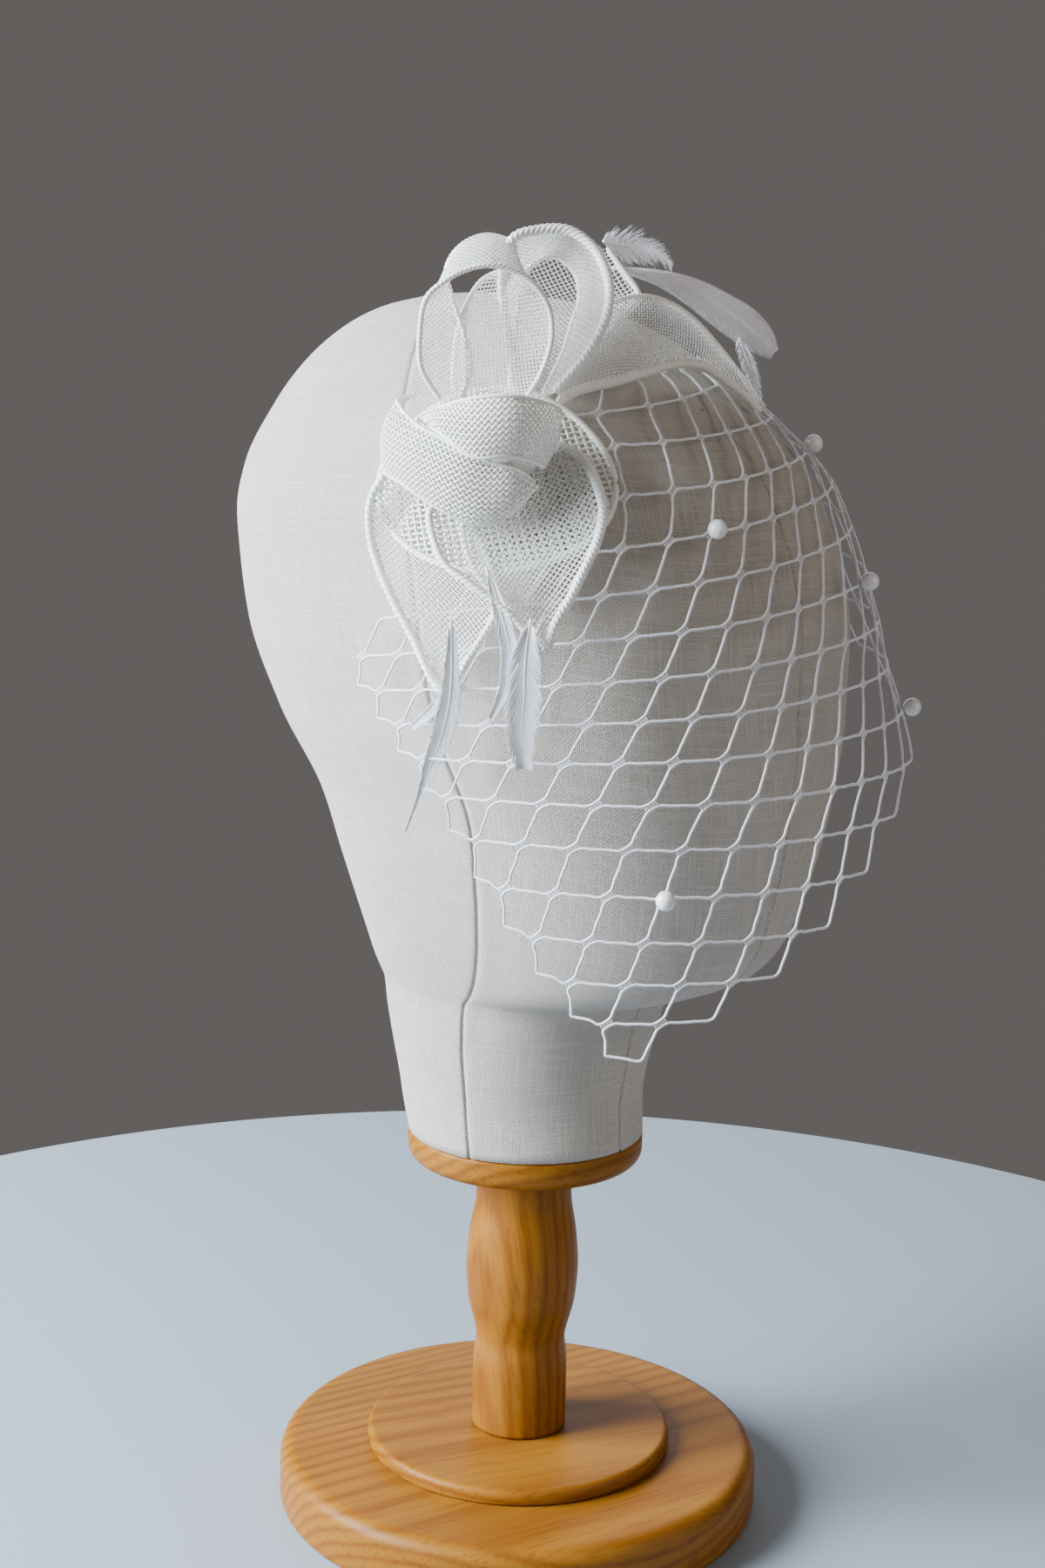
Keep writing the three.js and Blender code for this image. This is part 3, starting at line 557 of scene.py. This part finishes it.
# ---------------------------------------------------------------- pearls
# Round white pearl beads, each sewn on a knot of the net through the hole in its middle.
pearl_radius = 2.6
pearl_knots = [(9, 0), (1, 2), (7, 6), (4, 9), (10, 5)]
lustre, tree, shader = new_finish("pearl lustre", (0.90, 0.88, 0.86), 0.16)
shader.inputs["Coat Weight"].default_value = 1.0
shader.inputs["Coat Roughness"].default_value = 0.04
shader.inputs["Sheen Weight"].default_value = 0.3
rim_light = tree.nodes.new("ShaderNodeLayerWeight")
rim_light.inputs["Blend"].default_value = 0.35
tree.links.new(shaded(tree, rim_light.outputs["Facing"], (0.1, (0.90, 0.88, 0.86)), (0.8, (0.82, 0.80, 0.86))),
               shader.inputs["Base Color"])


def bead(centre, axis, radius, hole):
    """Points and faces of a round bead with a dimpled thread hole at both ends of its axis."""
    side = unit(np.cross(axis, (0.3, 0.2, 1)))
    other = np.cross(axis, side)
    turn = np.arange(36) * 2 * math.pi / 36
    ring = np.cos(turn)[:, None] * side + np.sin(turn)[:, None] * other
    start = math.asin(hole / radius)
    polar = np.linspace(start, math.pi - start, 25)
    outline = [(0, -0.72)] + [(math.sin(a), -math.cos(a)) for a in polar] + [(0, 0.72)]
    points = [np.array([centre + axis * outline[0][1] * radius])]
    points += [centre + ring * r * radius + axis * z * radius for r, z in outline[1:-1]]
    points.append(np.array([centre + axis * outline[-1][1] * radius]))
    count = len(turn)
    faces = [[0, 1 + (j + 1) % count, 1 + j] for j in range(count)]
    for i in range(len(polar) - 1):
        a, b = 1 + i * count, 1 + (i + 1) * count
        faces += [[a + j, a + (j + 1) % count, b + (j + 1) % count, b + j] for j in range(count)]
    end, top = 1 + (len(polar) - 1) * count, 1 + len(polar) * count
    faces += [[top, end + j, end + (j + 1) % count] for j in range(count)]
    return np.concatenate(points), faces


for number, (row, column) in enumerate(pearl_knots, 1):
    here, rail, across_rail, out = net_frame(row, column)
    centre = here + out * (0.6 + pearl_radius)
    points, faces = bead(centre, across_rail, pearl_radius, 0.45)
    make_piece(f"pearl_bead_{number}", points, faces, lustre, "pearl", f"pearl_{number}")

# ---------------------------------------------------------------- sinamay bow
# Strips of white sinamay, an open plain weave of stiff banana fibre cut on the bias, their edges
# rolled and stitched; looped and pinched under two knotted wraps, with pointed leaves.
bow_middle = np.array([-65.0, -32.0, 327.0])
bow_turn = math.radians(-52)
bow_right = np.array([math.cos(bow_turn), math.sin(bow_turn), 0])
bow_up = np.array([0, 0, 1.0])
bow_out = np.cross(bow_right, bow_up)


def bow_point(right_up_out):
    table = np.asarray(right_up_out, float)
    return bow_middle + table @ np.stack([bow_right, bow_up, bow_out])


# Each strip: how far its middle bows out, the rolled rims' radii, the weave, and its sections,
# each with the near and the far edge as right, up and out from the middle of the knot.
strips = [
    ("knot_upper", 1.5, (0.55, 0.55), "wrap", [
        ((-16, 9, 15), (-15.5, 7, 15)), ((-10, 11.5, 27), (-11, 4.5, 28)),
        ((-2, 13.5, 33), (-2.5, -1, 33)), ((6.5, 14, 34), (5, -0.5, 33)),
        ((13, 13, 30), (10, -1, 30)), ((18.5, 11, 21), (14.5, -3, 23)),
        ((18, 9, 13), (14, -3.5, 15))]),
    ("knot_lower", 2, (0.55, 0.55), "wrap", [
        ((-18.5, 14, 3), (-25, 4.5, 1)), ((-23, 12.5, 12), (-26.5, -5, 9)),
        ((-17.5, 6.5, 20), (-21, -8.5, 17)), ((-11.5, 3.5, 24), (-15.5, -12, 21)),
        ((-5, 0, 27), (-9, -15.5, 23)), ((1.5, -2.5, 27), (-2, -18, 23)),
        ((7.5, -4, 26), (5.5, -16, 22)), ((12, -6.5, 20), (13, -8.5, 19))]),
    ("crown_loop", 0.5, (0.7, 0.75), "loop", [
        ((-7, 13, 8), (-11.5, 12.5, 18)), ((-4.5, 21, 4), (-16.5, 20.5, 20)),
        ((-6.5, 30, 2), (-17, 29, 21)), ((-9.5, 38, 1), (-15.5, 37.5, 22)),
        ((-11.5, 46, 0), (-11.5, 41.5, 22)), ((-8, 52, 0), (-6.5, 44.5, 22)),
        ((-1, 55, -1), (0, 46, 22)),
        ((6, 52.5, -1), (6.5, 44.5, 21)), ((4, 47.5, -2), (11, 42, 20)),
        ((-2.5, 43.5, -2), (15, 36.5, 17)), ((-7, 35.5, 0), (16, 29, 15)),
        ((-9, 25.5, 3), (13.5, 20, 14)), ((-9, 15.5, 6), (10, 14, 14))]),
    ("right_leaf", 3, (1.0, 1.25), "leaf", [
        ((-12, -12, 17), (18, 2.5, 9)), ((-14, -15.5, 20), (24.5, -1, 14)),
        ((-12.5, -22.5, 24), (28.5, -8, 18)), ((-9.5, -28, 27), (30, -14.5, 20)),
        ((-3, -32.5, 30), (28.5, -22, 24)), ((2.5, -36, 31), (25.5, -28.5, 27)),
        ((8, -40.5, 32), (22, -36, 29)), ((13, -46.5, 32), (18.5, -42, 31)),
        ((15, -50, 32), (16.5, -49, 32))]),
    ("left_leaf", 2, (1.15, 1.0), "leaf", [
        ((-23.5, -2.5, 5), (-8.5, -9, 11)), ((-30, -13, 3), (-4, -17.5, 13)),
        ((-30, -23.5, 3), (0.5, -26, 17)), ((-27.5, -31, 6), (3.5, -34.5, 22)),
        ((-23.5, -39, 10), (3, -41, 23)), ((-18, -48, 14), (-1, -48.5, 23)),
        ((-13, -57.5, 18), (-5.5, -56.5, 21)), ((-9.5, -62, 20), (-8, -61.5, 20))]),
    ("side_loop", 0.5, (0.9, 1.3), "loop", [
        ((5.5, 11.5, -4), (8.5, 14.5, 6)), ((6, 27.5, -13), (4.5, 31, 4)),
        ((7.5, 41, -18), (3, 45.5, 3)), ((9.5, 48, -20), (5.5, 54, 2)),
        ((14.5, 51.5, -21), (12, 56.5, 1)), ((19, 50.5, -21), (20, 56.5, 1)),
        ((22.5, 46.5, -20), (26.5, 52, 2)), ((23.5, 40.5, -18), (30, 45, 4)),
        ((21.5, 33.5, -14), (30.5, 38, 6)), ((19.5, 26.5, -9), (28, 30, 8)),
        ((16.5, 19.5, -4), (23, 22, 9)), ((14, 14.5, -1), (17, 15.5, 9))]),
    ("brow_leaf", 2, (0.7, 1.45), "sheer", [
        ((20, 18.5, -10), (18, 13.5, 2)), ((24, 28, -20), (24, 16.5, -4)),
        ((31.5, 39.5, -30), (33.5, 19, -11)), ((40.5, 42.5, -36), (42.5, 22, -20)),
        ((48, 41.5, -41), (51, 24.5, -29)), ((55.5, 37.5, -45), (58.5, 24, -36)),
        ((63.5, 30, -49), (65, 20.5, -43)), ((70.5, 22, -52), (70.5, 17, -48)),
        ((77, 13.5, -55), (76.5, 12, -54))]),
    ("inner_leaf", 1.5, (0.8, 0.8), "leaf", [
        ((-3, -9, 12), (16, -1.5, 6)), ((-5.5, -17.5, 15), (17.5, -10.5, 10.5)),
        ((-4, -26, 18), (18, -19.5, 14)), ((1, -33.5, 24), (16, -28, 20)),
        ((8.5, -39, 27), (11.5, -36.5, 26))]),
    ("back_leaf", -2, (0.9, 0.9), "leaf", [
        ((9.5, 16, -7), (20, 17, -7)), ((5.5, 27.5, -17), (29.5, 28.5, -19)),
        ((5.5, 42, -26), (35, 36, -30)), ((8.5, 51.5, -33), (40, 42.5, -37)),
        ((17, 55, -36), (35.5, 49.5, -39)), ((26.5, 57.5, -38), (31, 55.5, -40))]),
]
# Each weave: pitch, half the fibre's width, half its thickness, bias in degrees.
weaves = {"wrap": (1.1, 0.40, 0.15, 38), "loop": (1.05, 0.17, 0.15, 20),
          "sheer": (1.0, 0.16, 0.14, 12), "leaf": (1.22, 0.19, 0.17, 42)}


class Strip:
    """A strip's surface: places on it are given along and across it, in millimetres."""

    def __init__(self, sections, cup):
        self.near = through(bow_point([s[0] for s in sections]), 12)
        self.far = through(bow_point([s[1] for s in sections]), 12)
        middle = (self.near + self.far) / 2
        self.s = np.concatenate([[0], np.linalg.norm(np.diff(middle, axis=0), axis=1).cumsum()])
        self.width = np.linalg.norm(self.far - self.near, axis=1)
        along = np.gradient(middle, axis=0)
        self.out = unit(np.cross(self.far - self.near, along))
        self.cup = cup

    def read(self, table, s):
        return np.stack([np.interp(s, self.s, table[:, k]) for k in range(3)], -1)

    def place(self, s, w):
        a, b = self.read(self.near, s), self.read(self.far, s)
        u = (w / np.maximum(np.interp(s, self.s, self.width), 0.1) + 0.5)[..., None]
        out = unit(self.read(self.out, s))
        return a + (b - a) * u + out * self.cup * 4 * u * (1 - u), out

    def holds(self, s, w):
        return (s >= 0) & (s <= self.s[-1]) & (np.abs(w) <= np.interp(s, self.s, self.width) / 2)


def weave_cloth(threads, surface, reach, weave, sides=4):
    """Plain weave over a surface: two sets of flat fibres that pass over and under in turn."""
    pitch, half_wide, half_thick, bias = weave
    turn = math.radians(bias)
    first = np.array([math.cos(turn), math.sin(turn)])
    second = np.array([-math.sin(turn), math.cos(turn)])
    count = int(math.hypot(*reach) / pitch / 2) + 2
    middle = np.array([reach[0] / 2, 0])
    for family, (along, across_set) in enumerate(((first, second), (second, first))):
        for line in range(-count, count + 1):
            step = np.arange(-2 * count, 2 * count + 1) / 2
            flat = middle + across_set * line * pitch + along * step[:, None] * pitch
            inside = surface.holds(flat[:, 0], flat[:, 1])
            edges = np.flatnonzero(np.diff(np.concatenate([[0], inside.astype(int), [0]])))
            for start, stop in zip(edges[::2], edges[1::2]):
                if stop - start < 3:
                    continue
                points, out = surface.place(flat[start:stop, 0], flat[start:stop, 1])
                swing = np.cos(math.pi * (step[start:stop] + line)) * (1 if family else -1)
                points = points + out * (swing * half_thick * 1.15)[:, None]
                threads.add(points, out, half_wide, half_thick, sides)


def even_path(points, gap):
    """The same line with evenly spaced points."""
    length = np.concatenate([[0], np.linalg.norm(np.diff(points, axis=0), axis=1).cumsum()])
    at = np.linspace(0, length[-1], max(int(length[-1] / gap), 4) + 1)
    return np.stack([np.interp(at, length, points[:, k]) for k in range(3)], -1), at


def rolled_rim(threads, edge, out, radius):
    """A rolled and stitched edge: a cord whose surface is ridged by the fibres wound round it."""
    path, at = even_path(edge, 0.36)
    sides = 12 if radius < 0.6 else 18
    facing = np.stack([np.interp(np.linspace(0, 1, len(path)), np.linspace(0, 1, len(out)), out[:, k])
                       for k in range(3)], -1)
    along = unit(np.gradient(path, axis=0))
    side = unit(np.cross(along, facing))
    face = np.cross(side, along)
    turn = np.arange(sides) * 2 * math.pi / sides
    ridges = max(3, round(radius * 3))
    lead = 4.6 * radius
    wave = np.abs(np.cos(ridges / 2 * (turn[None] - 2 * math.pi * at[:, None] / lead)))
    taper = np.clip(np.minimum(at, at[-1] - at) / 2.2 + 0.35, 0, 1)[:, None]
    reach = radius * taper * (0.68 + 0.38 * wave)
    ring = side[:, None] * np.cos(turn)[None, :, None] + face[:, None] * np.sin(turn)[None, :, None]
    threads.points.append((path[:, None] + ring * reach[..., None]).reshape(-1, 3))
    steps = len(path)
    i, j = np.meshgrid(np.arange(steps - 1), np.arange(sides), indexing="ij")
    k = (j + 1) % sides
    quads = np.stack([i * sides + j, (i + 1) * sides + j, (i + 1) * sides + k, i * sides + k], -1)
    threads.faces += (quads.reshape(-1, 4) + threads.count).tolist()
    threads.faces.append(list(range(threads.count, threads.count + sides)))
    end = threads.count + (steps - 1) * sides
    threads.faces.append(list(range(end + sides - 1, end - 1, -1)))
    threads.count += steps * sides


sinamay, tree, shader = new_finish("white sinamay", (0.93, 0.93, 0.91), 0.36)
place = tree.nodes.new("ShaderNodeTexCoord").outputs["Object"]
fibre = add_node(tree, "TexNoise", {"Vector": place, "Scale": 1500, "Detail": 2})
# Large warm patches laid at random: painted warm light, standing in for light shining through and between the
# layers of fibre.
patch = add_node(tree, "TexNoise", {"Vector": place, "Scale": 55, "Detail": 1})
white = shaded(tree, fibre, (0.3, (0.86, 0.86, 0.83)), (0.65, (0.97, 0.97, 0.96)))
painted_warm_glow = shaded(tree, patch, (0.42, (1.0, 0.985, 0.94)), (0.6, (1.0, 1.0, 1.0)))
tree.links.new(blended(tree, white, painted_warm_glow), shader.inputs["Base Color"])
tree.links.new(add_node(tree, "Bump", {"Height": fibre, "Strength": 0.3, "Distance": 0.0001}),
               shader.inputs["Normal"])

for name, cup, rims, kind, sections in strips:
    surface = Strip(sections, cup)
    threads = Threads()
    length = surface.s[-1]
    weave_cloth(threads, surface, (length, surface.width.max()), weaves[kind])
    for edge, radius in zip((surface.near, surface.far), rims):
        rolled_rim(threads, edge, surface.out, radius)
    ribbon = threads.piece(f"{name}_strip", sinamay, "sinamay", f"bow_{name}")

# ---------------------------------------------------------------- bow core and base
# Behind the knot the ends of the strips are gathered and sewn into a tight bundle, on a small
# round base of doubled sinamay that lies on the net and the head.
core_middle, core_radii = (1, 3, 18), np.array([15, 11, 10.5])
turn, polar = np.meshgrid(np.arange(96) * 2 * math.pi / 96, np.linspace(0.02, math.pi - 0.02, 41))
pleat = 1 - 0.07 * (0.5 + 0.5 * np.cos(22 * turn + 3 * np.sin(2 * polar))) * np.sin(polar)
bundle = np.stack([np.cos(polar), np.sin(polar) * np.cos(turn), np.sin(polar) * np.sin(turn)], -1)
bundle = bundle * core_radii * pleat[..., None]
core_points = bow_point(core_middle) + bundle.reshape(-1, 3) @ np.stack([bow_right, bow_up, bow_out])
count = 96
faces = [[i * count + j, i * count + (j + 1) % count, (i + 1) * count + (j + 1) % count, (i + 1) * count + j]
         for i in range(40) for j in range(count)]
faces += [list(range(count))[::-1], list(range(40 * count, 41 * count))]
faces = [face[::-1] for face in faces]

# The bundle's finish is a darker, warmer copy of the white sinamay: painted shade for the ends tucked behind
# the knot; the checker over it is the close weave.
gathered, tree, shader = new_finish("gathered sinamay in painted shade", (0.84, 0.83, 0.77), 0.6)
place = tree.nodes.new("ShaderNodeTexCoord").outputs["Object"]
crossing = tree.nodes.new("ShaderNodeTexChecker")
crossing.inputs["Scale"].default_value = 900
tree.links.new(place, crossing.inputs["Vector"])
tree.links.new(shaded(tree, crossing.outputs["Fac"], (0.0, (0.74, 0.72, 0.65)), (1.0, (0.90, 0.89, 0.84))),
               shader.inputs["Base Color"])
tree.links.new(add_node(tree, "Bump", {"Height": crossing.outputs["Fac"], "Strength": 0.4, "Distance": 0.0002}),
               shader.inputs["Normal"])
make_piece("gathered_ends", core_points, faces, gathered, "sinamay", "bow_core")


class BaseDisc:
    """The round base's surface over the head: places are right and up from its middle."""
    height, turn, tall, wide, lift = 200.0, 62.0, 24.0, 23.0, 1.7
    radius = 25.0

    def place(self, s, w):
        v, u = w / self.radius, (s - self.radius) / self.radius
        points = over_head(self.height + self.tall * v, self.turn - self.wide * u, self.lift)
        right = over_head(self.height + self.tall * v, self.turn - self.wide * (u + 0.02), self.lift)
        above = over_head(self.height + self.tall * (v + 0.02), self.turn - self.wide * u, self.lift)
        return points, unit(np.cross(right - points, above - points))

    def holds(self, s, w):
        return (s - self.radius) ** 2 + w ** 2 <= (self.radius - 0.8) ** 2


disc = BaseDisc()
threads = Threads()
weave_cloth(threads, disc, (2 * disc.radius, 2 * disc.radius), (1.5, 0.40, 0.13, 12))
turn = np.linspace(0, 2 * math.pi, 73)
rim, out = disc.place(disc.radius * (1 + 0.97 * np.cos(turn)), disc.radius * 0.97 * np.sin(turn))
rolled_rim(threads, rim, out, 0.95)
base_disc = threads.piece("bow_base_disc", sinamay, "sinamay", "bow_base")

# ---------------------------------------------------------------- feathers
# Stripped goose and hackle feathers: a tapering quill with fine barbs on both sides, smooth and
# closed on the broad ones, loose and silky on the hanging ones.

# Each feather: kind, bow of its middle, and sections as the strips have.
plumes = [
    ("brow", "broad", 1, [
        ((32, 50.5, -40), (32.5, 49.5, -40)), ((41, 50.5, -43), (40.5, 47.5, -43)),
        ((49, 50, -48), (47.5, 45, -47)), ((58.5, 48, -53), (54.5, 41, -51)),
        ((67, 44.5, -56), (61, 36.5, -54)), ((74.5, 40.5, -59), (68, 32, -57)),
        ((80, 35, -62), (74.5, 28.5, -60)), ((82, 30, -63), (79.5, 27, -62))]),
    ("tuft", "fluffy", 1, [
        ((28.5, 60, -42), (30.5, 54.5, -42)), ((34.5, 61, -44), (35, 52, -44)),
        ((41, 60, -46), (40.5, 52, -46)), ((46, 57.5, -47), (45.5, 52, -47)),
        ((50, 52.5, -48), (49.5, 51, -48))]),
    ("wisp", "fluffy", 0.5, [
        ((68, 33, -56), (72, 32, -56)), ((72, 23, -58), (76, 23.5, -58)),
        ((76.5, 13, -60), (78, 13.5, -60))]),
    ("long", "silky", 0.5, [
        ((-8.5, -41.5, 27), (-7, -41.5, 27)), ((-9, -50, 25), (-6, -50, 25)),
        ((-10.5, -61.5, 23), (-5, -61.5, 23)), ((-12.5, -71, 21), (-6.5, -71.5, 21)),
        ((-14.5, -79.5, 19), (-10, -80, 19)), ((-16.5, -89.5, 17), (-15, -90, 17)),
        ((-19.5, -99.5, 14), (-19, -99.5, 14))]),
    ("curl", "silky", 0.5, [
        ((-10, -59.5, 21.5), (-8.5, -62.5, 21.5)), ((-13.5, -65, 20), (-12, -67.5, 20)),
        ((-18, -70, 17), (-17.5, -72, 17))]),
    ("drop", "silky", 0.5, [
        ((0.5, -27.5, 30), (1.5, -28.5, 30)), ((2.5, -38, 32.5), (6.5, -38, 32.5)),
        ((5, -49, 33.5), (9.5, -48.5, 33.5)), ((4.5, -58.5, 33.5), (8, -58.5, 33.5)),
        ((2, -66, 33), (3.5, -66.5, 33))]),
    ("broad", "silky", 1, [
        ((12, -40.5, 33.5), (13, -40.5, 33.5)), ((9.5, -45.5, 34.5), (14, -45, 34.5)),
        ((7, -52.5, 35), (15.5, -52, 35)), ((6.5, -61, 35), (16, -60.5, 35)),
        ((6.5, -68.5, 34.5), (15, -69, 34.5)), ((8, -75, 34), (14.5, -75, 34)),
        ((9.5, -79, 33.5), (14, -79, 33.5))]),
]
# Each kind: barb spacing, barb half width, how far a barb runs on for its reach, raggedness.
barbs = {"broad": (0.24, 0.26, 1.5, 0.02), "fluffy": (0.20, 0.11, 1.0, 0.4),
         "silky": (0.18, 0.15, 3.4, 0.16)}

down, tree, shader = new_finish("white feather", (0.90, 0.91, 0.94), 0.55)
shader.inputs["Sheen Weight"].default_value = 0.4
shader.inputs["Sheen Roughness"].default_value = 0.4
place = tree.nodes.new("ShaderNodeTexCoord").outputs["Object"]
silk = add_node(tree, "TexNoise", {"Vector": place, "Scale": 420, "Detail": 2})
tree.links.new(shaded(tree, silk, (0.3, (0.84, 0.85, 0.89)), (0.7, (0.95, 0.95, 0.97))),
               shader.inputs["Base Color"])

draw = random.Random(7)
for name, kind, cup, sections in plumes:
    vane = Strip(sections, cup)
    spacing, half_wide, lean, ragged = barbs[kind]
    threads = Threads()
    length = vane.s[-1]
    quill_at = np.linspace(0, length * 0.97, 40)
    quill, out = vane.place(quill_at, 0 * quill_at)
    threads.add(quill, out, np.linspace(0.42, 0.10, 40), np.linspace(0.36, 0.08, 40), 8)
    for side in (-1, 1):
        for root in np.arange(length * 0.02, length * 0.99, spacing):
            loose = draw.uniform(-1, 1) * ragged
            wide = float(np.interp(root, vane.s, vane.width)) / 2
            run = wide * lean * (1 + loose)
            tip = min(root + run, length)
            reach = float(np.interp(tip, vane.s, vane.width)) / 2 * (1 + 0.5 * loose)
            t = np.linspace(0, 1, 8)
            s = root + (tip - root) * t ** 1.15
            w = side * reach * (t ** 0.8 if kind != "silky" else t ** 1.3)
            points, out = vane.place(s, w)
            lift = draw.uniform(-1, 1) * (0.5 if kind == "fluffy" else 0.12)
            points = points + out * (lift * t ** 1.5)[:, None]
            if kind == "fluffy":
                sway = draw.uniform(-1.2, 1.2)
                points = points + bow_up * (sway * t ** 2)[:, None]
            taper = half_wide * (1 - 0.75 * t ** 2)
            threads.add(points, out, taper, taper * 0.45 + 0.02, 4)
    threads.piece(f"{name}_feather", down, "feather", f"feather_{name}")

# ---------------------------------------------------------------- table and light
# A round pale tabletop, a grey room round it, a broad cool window light from the left and weak
# fills.
table_radius = 0.38
angle = np.arange(160) * 2 * math.pi / 160
circle = [(table_radius * math.cos(a), table_radius * math.sin(a), -0.0002) for a in angle]
floor_mesh = bpy.data.meshes.new("table")
floor_mesh.from_pydata(circle, [], [list(range(160))])
floor = bpy.data.objects.new("table", floor_mesh)
bpy.context.scene.collection.objects.link(floor)
cloth, tree, shader = new_finish("pale tabletop", (0.31, 0.36, 0.415), 0.8)
floor_mesh.materials.append(cloth)

world = bpy.data.worlds.new("room")
world.use_nodes = True
world.node_tree.nodes["Background"].inputs["Color"].default_value = (0.126, 0.118, 0.115, 1)
world.node_tree.nodes["Background"].inputs["Strength"].default_value = 1.0
bpy.context.scene.world = world

target = Vector((0, 0, 0.25))
for name, place, size, power, colour in (
        ("window", (-0.83, 0.64, 0.62), 0.8, 84, (0.82, 0.91, 1.0)),
        ("room_fill", (0.2, -1.1, 0.6), 0.9, 4.0, (1.0, 0.90, 0.82)),
        ("back_fill", (0.9, 0.6, 0.5), 0.8, 3.0, (0.95, 0.97, 1.0))):
    glow = bpy.data.lights.new(name, "AREA")
    glow.size = size
    glow.energy = power
    glow.color = colour
    lamp = bpy.data.objects.new(name, glow)
    lamp.location = place
    lamp.rotation_euler = (target - Vector(place)).to_track_quat("-Z", "Y").to_euler()
    bpy.context.scene.collection.objects.link(lamp)

bpy.context.view_layer.update()
